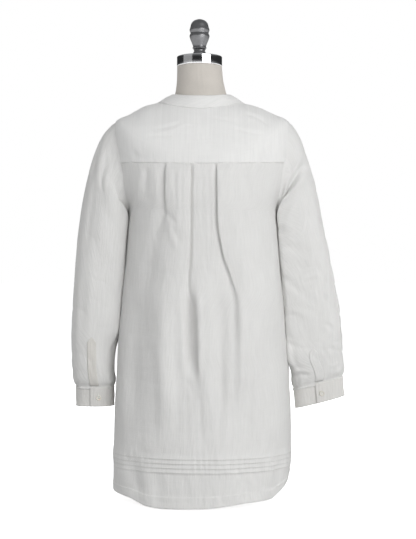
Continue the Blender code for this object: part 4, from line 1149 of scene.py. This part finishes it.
def armhole_ring(side, angle, tucked):
    """Points along the armhole, let in under the body's edge by a share."""
    hand = HANDS[side]
    turn = 90.0 - angle if side == "right" else angle + 90.0

    def edge_points(at_turn, lift):
        edge_angle, level = armhole_edge(at_turn)
        return lifted(hand * edge_angle, level, np.full(level.shape, lift))

    point = edge_points(turn, 0.0)
    normal = edge_points(turn, 1.0) - point
    along = edge_points(turn + 1.0, 0.0) - edge_points(turn - 1.0, 0.0)
    into_hole = unit(np.cross(normal, along)) * hand
    below = ((1.0 - cosine(turn)) / 2)[..., None]
    inward = SLEEVE_GAP - tucked * SLEEVE_TUCKED
    sunk = SLEEVE_UNDER * below * below * (1.0 - tucked) - tucked * SLEEVE_TUCKED_IN
    return point + into_hole * inward + normal * sunk


def against_body(points, side, along, share):
    """The sleeve's points with its inner side let in against the body, just clear of it."""
    hand = HANDS[side]
    x, y, z = np.moveaxis(points, -1, 0)
    row = read(LEVELS, z)
    depth = np.where(y < 0.0, row.back_depth, row.front_depth)
    deep = np.minimum(np.abs(y) / depth, 1.0)
    narrowed = np.maximum(1.0 - deep ** row.power, 0.0) ** (1.0 / row.power)
    wall = row.shift * hand + row.half_width * narrowed + BODY_CLEAR
    inner, outer = (hand * x).min(axis=1), (hand * x).max(axis=1)
    across = (hand * x - inner[:, None]) / (outer - inner)[:, None]
    pressed = (1.0 - ease((across - 0.05) / 0.5)) * ease((along - 40.0) / 40.0) * share
    moved = blend(hand * x, np.minimum(hand * x, wall), pressed)
    return points_of(hand * moved, y, z)


def make_sleeve(side):
    """Outer face of a sleeve, from under the armhole's edge into its cuff."""
    table = SLEEVES[side]
    hand = HANDS[side]
    along = SLEEVE_ROWS[:, None]
    angle = (360.0 * np.arange(SLEEVE_COLUMNS) / SLEEVE_COLUMNS)[None, :]
    on_sleeve = np.minimum(along, SLEEVE_END)
    points = tube(read(table, on_sleeve), side, angle)
    start = tube(table[0], side, angle)
    tucked = (1.0 - ease(along / SLEEVE_TUCK_RUN))[..., None]
    ring = armhole_ring(side, angle, tucked)
    points = points + (ring - start) * (1.0 - ease(along / ARMHOLE_BLEND))[..., None]
    placket = ease(np.abs(signed(angle - LAP_EDGE[side] - PLACKET_TURN)) / PLACKET_FADE - 1.0)
    near_cuff = ease(1.0 - (SLEEVE_END - on_sleeve) / GATHER_RUN)
    solid_gather = cosine(GATHERS * angle) * GATHER_DEPTH * near_cuff * placket
    points = points + outward(angle) * (0.55 * solid_gather)[..., None]
    cloth = Cloth(points, closed=True)
    round_it = np.radians(signed(angle)) * SLEEVE_RADIUS * hand
    round_it, v = np.broadcast_arrays(round_it, on_sleeve)
    lap = 2.0 * math.pi * SLEEVE_RADIUS
    shape = sum(creases(round_it + turn, v, SLEEVE_CREASES[side]) for turn in (0.0, lap, -lap))
    seed = SLEEVE_SEEDS[side]
    amount = SLEEVE_CRUMPLE[side] * blend(0.8, 1.4, ease((v - 230.0) / 160.0))
    shape = shape + amount * worn(points * np.array([1.0, 1.0, 0.75]), seed, SLEEVE_WEAR, sharp=6.0)
    free = ease((v - 4.0) / 26.0) * (1.0 - 0.7 * near_cuff)
    pressed = free * (1.0 - ease((v - SLEEVE_FREE[side]) / SLEEVE_FREE_RUN))
    points = against_body(cloth.points, side, v, pressed)
    cloth = Cloth(points, closed=True)
    spread = noise(points_of(round_it, 0.1 * v, 0.0), (9.0, 40.0, 10.0), seed + 4)
    gathers = 1.5 * spread * ease(1.0 - (SLEEVE_END - v) / 46.0) * placket
    head = 0.8 * spread * np.exp(-((v - 9.0) / 9.0) ** 2)
    puff = CUFF_PUFF * np.exp(-((v - SLEEVE_END + 17.0) / 12.0) ** 2) * blend(0.35, 1.0, placket)
    inset = CUFF_INSET * ease((along - SLEEVE_END + 6.0) / 8.0)
    cloth.move(SOLID_HALF + shape * free + gathers + head + puff - inset)
    past = np.maximum(along - SLEEVE_END, 0.0)[..., None]
    cloth.points = cloth.points - np.array([0.0, 0.0, 1.0]) * past
    cloth.measure()
    return cloth


def make_cuff(side):
    """Outer face of a cuff, whose end laps over its start."""
    start = LAP_EDGE[side]
    angle = np.linspace(start, start + 360.0 + CUFF_OVERLAP, CUFF_COLUMNS + 1)[None, :]
    along = np.linspace(0.0, CUFFS[side][-1].along, CUFF_ROWS + 1)[:, None]
    points = tube(read(CUFFS[side], along), side, angle)
    over = 1.0 - ease((angle - start - CUFF_OVERLAP) / CUFF_LAP_FADE)
    under = 1.0 - ease((start + 360.0 - angle) / CUFF_LAP_FADE)
    points = points + outward(angle) * (CUFF_LAP_RISE * (over - under))[..., None]
    cloth = Cloth(points)
    seed = CUFF_SEEDS[side]
    inner = ease(cloth.down / 5.0) * ease(cloth.up / 5.0)
    shape = worn(points, seed, CUFF_WEAR)
    ripples = edge_puckers(cloth, angle, 0.5, EDGE_STITCH + 1.0, seed + 3)
    cloth.move(DOUBLE_HALF + sum(ripples, shape * inner))
    return cloth


def strip_on(cloth, columns, rows, lift):
    """A strip's outer face over another cloth's, at its fractional columns and rows."""
    points, normals = cloth.at(columns, rows)
    strip = Cloth(points)
    edge = ease(np.minimum(strip.across, strip.back_across) / 1.2)
    strip.points = points + normals * (lift * blend(0.55, 1.0, edge))[..., None]
    strip.measure()
    return strip


def make_sleeve_placket(side, sleeve):
    """Outer face of the pointed strip up the back of a sleeve from its cuff."""
    top = SLEEVE_PLACKET_TOP[side]
    along = np.concatenate([np.linspace(top, top + SLEEVE_PLACKET_POINT, 7)[:-1],
                            np.arange(top + SLEEVE_PLACKET_POINT, SLEEVE_END, SLEEVE_PLACKET_STEP)])
    along = along[:, None]
    across = np.linspace(-1.0, 1.0, SLEEVE_PLACKET_COLUMNS)[None, :]
    share = blend(0.08, 1.0, np.clip((along - top) / SLEEVE_PLACKET_POINT, 0, 1))
    distance = SLEEVE_PLACKET_WIDTH / 2 * (1.0 + across * share)
    rows = np.interp(along, SLEEVE_ROWS, np.arange(len(SLEEVE_ROWS)))
    first = LAP_EDGE[side] / 360.0 * SLEEVE_COLUMNS
    steps = np.linspace(0.0, 16.0, 33)
    reach = distances(sleeve.at(first + steps[None, :], rows)[0], axis=1)
    columns = first + np.array([np.interp(distance[i], reach[i], steps) for i in range(len(rows))])
    return strip_on(sleeve, columns, np.broadcast_to(rows, columns.shape), SLEEVE_PLACKET_LIFT)


# Stitches and buttons

def stitch_mesh():
    """One stitch along x: points, and faces as lists of point numbers."""
    points, faces = [(-0.5 * STITCH_LENGTH, 0.0, 0.0)], []
    for along in (-0.36, 0.36):
        for corner in range(4):
            turn = math.pi / 4 + corner * math.pi / 2
            points.append((along * STITCH_LENGTH, 0.85 * STITCH_RADIUS * math.cos(turn),
                           0.85 * STITCH_RADIUS * math.sin(turn)))
    points.append((0.5 * STITCH_LENGTH, 0.0, 0.0))
    for corner in range(4):
        near, beside = 1 + corner, 1 + (corner + 1) % 4
        faces += [(0, beside, near), (near, beside, beside + 4, near + 4),
                  (9, near + 4, beside + 4)]
    return np.array(points), faces


STITCH_POINTS, STITCH_FACES = stitch_mesh()


def stitches(points, normals, seed):
    """Points and faces of stitches set along a line of points with their normals."""
    along = distances(points)

    def read_line(places, values):
        return points_of(*(np.interp(places, along, values[:, i]) for i in range(3)))

    count = int(along[-1] / STITCH_PITCH)
    draw = np.random.RandomState(seed)
    places = (np.arange(count) + 0.5) * STITCH_PITCH + draw.uniform(-0.15, 0.15, count)
    start, end = (read_line(places + half * STITCH_LENGTH, points) for half in (-0.5, 0.5))
    up = unit(read_line(places, normals))
    forward = unit(end - start)
    turned = unit(forward + unit(np.cross(up, forward)) * draw.uniform(-0.06, 0.06, count)[:, None])
    aside = unit(np.cross(up, turned))
    middle = (start + end) / 2 + up * (0.45 * STITCH_RADIUS)
    made = middle[:, None]
    for axis, direction in enumerate((turned, aside, up)):
        made = made + STITCH_POINTS[None, :, axis:axis + 1] * direction[:, None]
    size = len(STITCH_POINTS)
    faces = [tuple(corner + number * size for corner in face)
             for number in range(count) for face in STITCH_FACES]
    return made.reshape(-1, 3), faces


def stitched(name, lines):
    """All the stitches along several lines as one piece."""
    points, faces, first = [], [], 0
    for number, line in enumerate(lines):
        some, some_faces = stitches(*line, seed=5 + number)
        points.append(some)
        faces += [tuple(corner + first for corner in face) for face in some_faces]
        first += len(some)
    mesh_object(name, np.concatenate(points), faces, THREAD.material, "linen")


def turned_points(outline, steps):
    """Points of a turned piece about z from (radius, height) pairs, a ring for each."""
    turn = 2.0 * math.pi * np.arange(steps) / steps
    return np.array([[(radius * math.cos(t), radius * math.sin(t), height) for t in turn]
                     for radius, height in outline])


def turned_faces(rings, steps, closed=False):
    """Faces over rings of points, with a cap at each end or joined to a closed ring."""
    faces = grid_quads(rings, steps, True).tolist()
    if closed:
        last = (rings - 1) * steps
        faces += [[last + i, i, (i + 1) % steps, last + (i + 1) % steps] for i in range(steps)]
    else:
        faces.append(list(range(steps)))
        faces.append(list(reversed(range((rings - 1) * steps, rings * steps))))
    return faces


def turned_piece(name, outline, steps, material, node, slot, shift=0.0, closed=False):
    points = turned_points(outline, steps) + np.array([shift, 0.0, 0.0])
    faces = turned_faces(len(outline), steps, closed)
    return mesh_object(name, points, faces, material, slot, [node])


BUTTON_PROFILE = (
    (0.6, 1.35), (2.2, 1.38), (3.3, 1.5), (3.75, 1.75), (4.2, 2.1), (4.8, 2.25), (5.4, 2.1),
    (5.75, 1.7), (5.6, 1.0), (5.0, 0.35), (4.0, 0.0), (0.6, 0.0),
)
BUTTON_STEPS = 40
BUTTON_HOLE = 0.62
BUTTON_HOLE_PLACE = 1.25
DRILL_SIDES = 12


def button_object(name, seat, normal, turn, node):
    """A dished shell button with four holes, on a seat along a normal. Gives back its thread."""
    points = turned_points(BUTTON_PROFILE, BUTTON_STEPS)
    blank = bpy.data.meshes.new(name + "_blank")
    blank.from_pydata(points.reshape(-1, 3).tolist(), [], turned_faces(len(points), BUTTON_STEPS))
    item = linked(name, blank)
    drill_points, drill_faces = [], []
    for corner in range(4):
        at = math.pi / 4 + corner * math.pi / 2
        place = np.array([BUTTON_HOLE_PLACE * math.cos(at), BUTTON_HOLE_PLACE * math.sin(at), 0.0])
        some = turned_points(((BUTTON_HOLE, 3.0), (BUTTON_HOLE, -1.0)), DRILL_SIDES) + place
        first = 2 * DRILL_SIDES * corner
        drill_faces += [[i + first for i in face] for face in turned_faces(2, DRILL_SIDES)]
        drill_points += some.reshape(-1, 3).tolist()
    drill_mesh = bpy.data.meshes.new("drill")
    drill_mesh.from_pydata(drill_points, [], drill_faces)
    drill = linked("drill", drill_mesh)
    cut = item.modifiers.new("holes", "BOOLEAN")
    cut.operation = "DIFFERENCE"
    cut.object = drill
    drilled = item.evaluated_get(bpy.context.evaluated_depsgraph_get())
    mesh = bpy.data.meshes.new_from_object(drilled)
    found = np.zeros(len(mesh.vertices) * 3)
    mesh.vertices.foreach_get("co", found)
    shapes = [list(polygon.vertices) for polygon in mesh.polygons]
    for waste in (item, drill):
        bpy.data.objects.remove(waste, do_unlink=True)
    normal = unit(np.asarray(normal, dtype=float))
    aside = unit(np.cross(np.array([0.0, 0.0, 1.0]), normal))
    across = aside * math.cos(turn) + np.cross(normal, aside) * math.sin(turn)
    upward = np.cross(normal, across)
    placed = found.reshape(-1, 3) @ np.stack([across, upward, normal]) + seat
    button = mesh_object(name, placed, shapes, SHELL, "button", [node])
    button.data.set_sharp_from_angle(angle=math.radians(50.0))
    share = np.linspace(0.0, 1.0, 9)[:, None]
    bow = np.sin(np.pi * share)
    place = BUTTON_HOLE_PLACE * 0.72
    lines = []
    for hand in (-1.0, 1.0):
        ends = [seat + across * place * end + upward * place * end * hand for end in (-1.0, 1.0)]
        lines.append(blend(*ends, share) + normal * (1.3 + 0.55 * bow - 0.5 * (1.0 - bow)))
    return lines


def tube_mesh(lines, radius, sides=6):
    """Points and faces of round cords along lines of points."""
    points, faces, first = [], [], 0
    for line in lines:
        along = unit(np.gradient(line, axis=0))
        across = unit(np.cross(along, np.array([0.31, 0.52, 0.79])))
        up = np.cross(along, across)
        turn = (2.0 * np.pi * np.arange(sides) / sides)[:, None]
        ring = across[:, None] * np.cos(turn) + up[:, None] * np.sin(turn)
        points.append((line[:, None] + ring * radius).reshape(-1, 3))
        faces += (grid_quads(len(line), sides, True, first)[:, ::-1]).tolist()
        faces.append([first + i for i in range(sides)])
        faces.append([first + (len(line) - 1) * sides + i for i in reversed(range(sides))])
        first += len(line) * sides
    return np.concatenate(points), faces


# The garment

def build_garment():
    back, front, yoke, collar = make_back(), make_front(), make_yoke(), make_collar()
    for name, panel, area in (("back", back, (0.52, 0.74)), ("front", front, (0.52, 0.84))):
        thick = blend(SINGLE_THICK, DOUBLE_THICK, ease((HEM_FOLD - panel.levels[:, None]) / 2.0))
        item = cloth_object(name, panel, thick, LINEN_SINGLE, name + "_panel")
    rim = np.minimum(yoke.up, np.minimum(yoke.across, yoke.back_across))
    thick = blend(0.4, DOUBLE_THICK, ease(rim / 12.0))
    item = cloth_object("yoke", yoke, thick, LINEN_DOUBLE, "back_yoke")
    item = cloth_object("collar", collar, DOUBLE_THICK, LINEN_DOUBLE, "collar_band")
    stitched("body_stitches", [yoke.line(EDGE_STITCH, "bottom", 0.27, 0.73),
                               yoke.line(EDGE_STITCH, "left"), yoke.line(EDGE_STITCH, "right"),
                               collar.line(EDGE_STITCH + 1.0, "top"),
                               collar.line(COLLAR_LOW_STITCH, "bottom")])
    tuck_stitches = [TOP_TUCK_EDGE - tuck * TUCK_PITCH + EDGE_STITCH for tuck in range(TUCKS)]
    hem_lines = []
    for panel in (back, front):
        columns = np.arange(panel.points.shape[1])
        for height in [HEM_FOLD - HEM_STITCH] + tuck_stitches:
            row = np.interp(-height, -panel.levels, np.arange(len(panel.levels)))
            hem_lines.append(panel.at(columns, row))
    stitched("hem_stitches", hem_lines)
    placket = make_front_placket(front)
    item = cloth_object("placket", placket, DOUBLE_THICK, LINEN_DOUBLE, "front_placket")
    stitched("placket_stitches", [placket.line(EDGE_STITCH, "left"),
                                  placket.line(EDGE_STITCH, "right"),
                                  placket.line(HEM_STITCH, "bottom")])
    build_buttons(build_sleeves(), placket)


def make_front_placket(front):
    """Outer face of the strip down the front over its slit."""
    rows, columns = front.points.shape[:2]
    heights = front.points[:, columns // 2, 2]
    middle_z = body(CENTRE_FRONT, np.array([PLACKET_TOP, PLACKET_BOTTOM]))[:, 2]
    places = np.linspace(middle_z[0], middle_z[1], PLACKET_ROWS)
    row_at = np.interp(-places, -heights, np.arange(rows))
    from_middle = np.linspace(-0.5, 0.5, PLACKET_COLUMNS) * PLACKET_WIDTH
    found = []
    middle = (columns - 1) / 2.0
    for row in row_at:
        near = int(min(round(row), rows - 1))
        across = front.across[near] - np.interp(middle, np.arange(columns), front.across[near])
        found.append(np.interp(from_middle, across, np.arange(columns)))
    found = np.array(found)
    return strip_on(front, found, np.broadcast_to(row_at[:, None], found.shape), PLACKET_LIFT)


def build_sleeves():
    """Both sleeves with their cuffs and plackets. Gives back the cuffs."""
    cuffs = {}
    for side in ("left", "right"):
        sleeve, cuff = make_sleeve(side), make_cuff(side)
        strip = make_sleeve_placket(side, sleeve)
        worn_by = cloth_object(f"{side}_sleeve", sleeve, SINGLE_THICK, LINEN_SINGLE,
                               f"sleeve_{side}")
        # The cuffs' linen carries painted shade
        band = cloth_object(f"{side}_cuff", cuff, DOUBLE_THICK, LINEN_CUFF_PAINTED_SHADE, f"cuff_{side}")
        # The left placket's linen carries painted shade
        opening = cloth_object(f"{side}_placket", strip, 0.9, LINEN_STRIP_LEFT_SHADED[side],
                               f"sleeve_placket_{side}")
        stitched(f"{side}_sleeve_stitches", [
            cuff.line(CUFF_STITCH, "top"), cuff.line(CUFF_STITCH, "bottom"),
            cuff.line(EDGE_STITCH, "left"), strip.line(EDGE_STITCH, "left"),
            strip.line(EDGE_STITCH, "right"),
        ])
        cuffs[side] = cuff
    return cuffs


def build_buttons(cuffs, placket):
    """A button on each cuff and a row down the front, with their thread."""
    thread = []

    def add_button(name, cloth, column, row, turn, node):
        seat, normal = cloth.at(column, row)
        thread.extend(button_object(name, seat + normal * BUTTON_GAP, normal, turn, node))

    for side, cuff in cuffs.items():
        row = BUTTON_DOWN_CUFF * CUFF_ROWS
        columns = np.arange(CUFF_COLUMNS + 1)
        column = np.interp(BUTTON_PAST_EDGE[side], cuff.across[round(row)], columns)
        add_button(f"{side}_cuff_button", cuff, column, row, 0.3, f"cuff_button_{side}")
    middle = PLACKET_COLUMNS // 2
    heights = placket.points[:, middle, 2]
    for number in range(FRONT_BUTTONS):
        level = blend(FIRST_BUTTON_LEVEL, LAST_BUTTON_LEVEL, number / (FRONT_BUTTONS - 1))
        height = float(body(CENTRE_FRONT, np.array([level]))[0, 2])
        row = np.interp(-height, -heights, np.arange(len(heights)))
        name = f"front_button_{number + 1}"
        add_button(name + "_shown", placket, middle, row, 0.5 * number, name)
    mesh_object("button_thread", *tube_mesh(thread, 0.28), THREAD.material, "linen")


# The form

def form_upper(angle, level):
    """Points of the form just under the yoke, and further under the front."""
    extra = read(FORM_UPPER, level).extra
    inset = FORM_FRONT_INSET * np.maximum(0.0, -cosine(angle))
    under = DOUBLE_HALF - YOKE_LIFT + FORM_GAP
    return lifted(angle, level, -under - extra - inset)


def build_form():
    """Covered body with its centre seam, bright ring, cap and finial."""
    angle = signed((360.0 * np.arange(FORM_COLUMNS) / FORM_COLUMNS)[None, :])
    neck = np.linspace(FORM_NECK[0].level, FORM_NECK_FOOT, FORM_NECK_ROWS)
    neck = np.append(neck, FORM_NECK[-1].level)[:, None]
    upper = np.linspace(FORM_UPPER[0].level, FORM_UPPER[-1].level, FORM_UPPER_ROWS)[:, None]
    lower = np.linspace(FORM_LOWER[0].level, FORM_LOWER[-1].level, FORM_LOWER_ROWS)[:, None]
    rings = [section(read(FORM_NECK, neck), angle), form_upper(angle, upper),
             section(read(FORM_LOWER, lower), angle)]
    bridge = blend(rings[1][-1], rings[2][0], ease(np.linspace(0.0, 1.0, 8))[1:-1, None, None])
    collar_bridge = blend(rings[0][-1], rings[1][0], np.linspace(0.0, 1.0, 5)[1:-1, None, None])
    points = np.concatenate([rings[0], collar_bridge, rings[1], bridge, rings[2]])
    cover = Cloth(points, closed=True)
    from_seam = np.abs(angle) * math.radians(FORM_SEAM_RADIUS)
    ridge, groove = 0.5 * np.exp(-(from_seam / 5.0) ** 2), 1.2 * np.exp(-from_seam ** 2)
    cover.move(ridge - groove)
    item = mesh_object("form_cover", cover.points, turned_faces(len(points), FORM_COLUMNS), COVER,
                       "form_cloth", ["form_body"])
    item.data.set_sharp_from_angle(angle=math.radians(60.0))
    inner = RING_RADIUS - RING_WALL
    ring_outline = (
        (inner, RING_TOP - 0.7), (inner + 0.25, RING_TOP - 0.2), (inner + 0.8, RING_TOP),
        (RING_RADIUS - 0.7, RING_TOP - 0.1), (RING_RADIUS - 0.15, RING_TOP - 0.7),
        (RING_RADIUS, RING_TOP - 1.6), (RING_RADIUS, RING_FOOT + 1.4),
        (RING_RADIUS - 0.2, RING_FOOT + 0.5), (RING_RADIUS - 0.7, RING_FOOT),
        (inner + 0.2, RING_FOOT), (inner, RING_FOOT + 0.6),
    )
    ring = turned_piece("neck_ring", ring_outline, 120, CHROME, "neck_band", "bright_metal",
                        NECK_SHIFT, closed=True)
    ring.data.set_sharp_from_angle(angle=math.radians(50.0))
    cap_radius = inner - 0.35
    cap_outline = ((1.0, CAP_TOP), (cap_radius - 1.2, CAP_TOP), (cap_radius - 0.3, CAP_TOP - 0.3),
                   (cap_radius, CAP_TOP - 1.3), (cap_radius, RING_FOOT), (1.0, RING_FOOT))
    turned_piece("cap", cap_outline, 96, SILVER, "neck_cap", "silver_paint", NECK_SHIFT)
    even = np.linspace(0.3, FINIAL[-1].height, FINIAL_ROWS)
    heights = np.unique(np.concatenate([even, FINIAL_EDGES]))
    radii = read(FINIAL, heights).radius
    outline = [(0.4, FINIAL_FOOT + FINIAL_TOP), (2.6, FINIAL_FOOT + 81.8)]
    outline += [(radius, FINIAL_FOOT + height)
                for height, radius in zip(heights[::-1], radii[::-1])]
    outline.append((14.6, FINIAL_FOOT))
    turned_piece("turned_finial", outline, 72, SILVER, "finial", "silver_paint", NECK_SHIFT)


# Floor, light and camera

def build_stage():
    """Pale floor, soft studio light and the camera at the photo's angle."""
    scene = bpy.context.scene
    mesh = bpy.data.meshes.new("floor")
    mesh.from_pydata([(-40, -40, 0), (40, -40, 0), (40, 40, 0), (-40, 40, 0)], [], [(0, 1, 2, 3)])
    floor = linked("floor", mesh)
    pale = Shader("pale_floor", (0.9, 0.9, 0.9), 0.8)
    pale.fix(Emission_Color=(*WHITE, 1.0), Emission_Strength=FLOOR_GLOW)
    mesh.materials.append(pale.material)
    floor.visible_diffuse = False
    for name, place, size, power in LIGHTS:
        data = bpy.data.lights.new(name, "AREA")
        data.shape = "RECTANGLE"
        data.size, data.size_y = size
        data.energy = power
        lamp = linked(name, data)
        lamp.location = place
        lamp.rotation_mode = "QUATERNION"
        aim = Vector(LAMP_AIM) - Vector(place)
        lamp.rotation_quaternion = aim.to_track_quat("-Z", "Y")
        lamp.visible_camera = False
        lamp.visible_glossy = name in GLOSSY_LAMPS
    world = bpy.data.worlds.new("studio")
    world.use_nodes = True
    made = Nodes(world.node_tree)
    plain = made.tree.nodes["Background"]
    plain.inputs["Color"].default_value = (0.96, 0.98, 1.0, 1.0)
    parts = made.add("ShaderNodeSeparateXYZ")
    made.join(made.add("ShaderNodeTexCoord").outputs["Generated"], parts.inputs["Vector"])
    height = made.add("ShaderNodeValToRGB")
    ramp = height.color_ramp
    ramp.elements[0].position, ramp.elements[1].position = 0.5, 0.72
    for place in (0.54, 0.62):
        ramp.elements.new(place)
    for stop, power in zip(ramp.elements, (GROUND, RAIL, RAIL, CEILING)):
        stop.color = (power, power, power, 1.0)
    made.join(made.math("MULTIPLY_ADD", parts.outputs["Z"], 0.5, 0.5), height.inputs["Fac"])
    made.join(height.outputs["Color"], plain.inputs["Strength"])
    seen = made.add("ShaderNodeBackground", {"Color": (*WHITE, 1.0), "Strength": 1.0})
    either = made.add("ShaderNodeMixShader")
    made.join(made.add("ShaderNodeLightPath").outputs["Is Camera Ray"], either.inputs["Fac"])
    made.join(plain.outputs["Background"], either.inputs[1])
    made.join(seen.outputs["Background"], either.inputs[2])
    made.join(either.outputs["Shader"], made.tree.nodes["World Output"].inputs["Surface"])
    scene.world = world
    scene.view_settings.view_transform = "Standard"
    data = bpy.data.cameras.new("photo_view")
    data.lens = LENS
    data.sensor_width = 36.0
    camera = linked("photo_view", data)
    camera.location = CAMERA_PLACE
    camera.rotation_euler = (math.radians(90.0), 0.0, 0.0)
    scene.camera = camera


def dress_stand():
    """Materials for the solids that are carried over as they are."""
    for item in bpy.data.objects:
        if item.name in STAND:
            item.data.materials.clear()
            item.data.materials.append(STAND[item.name])


build_form()
build_garment()
dress_stand()
build_stage()
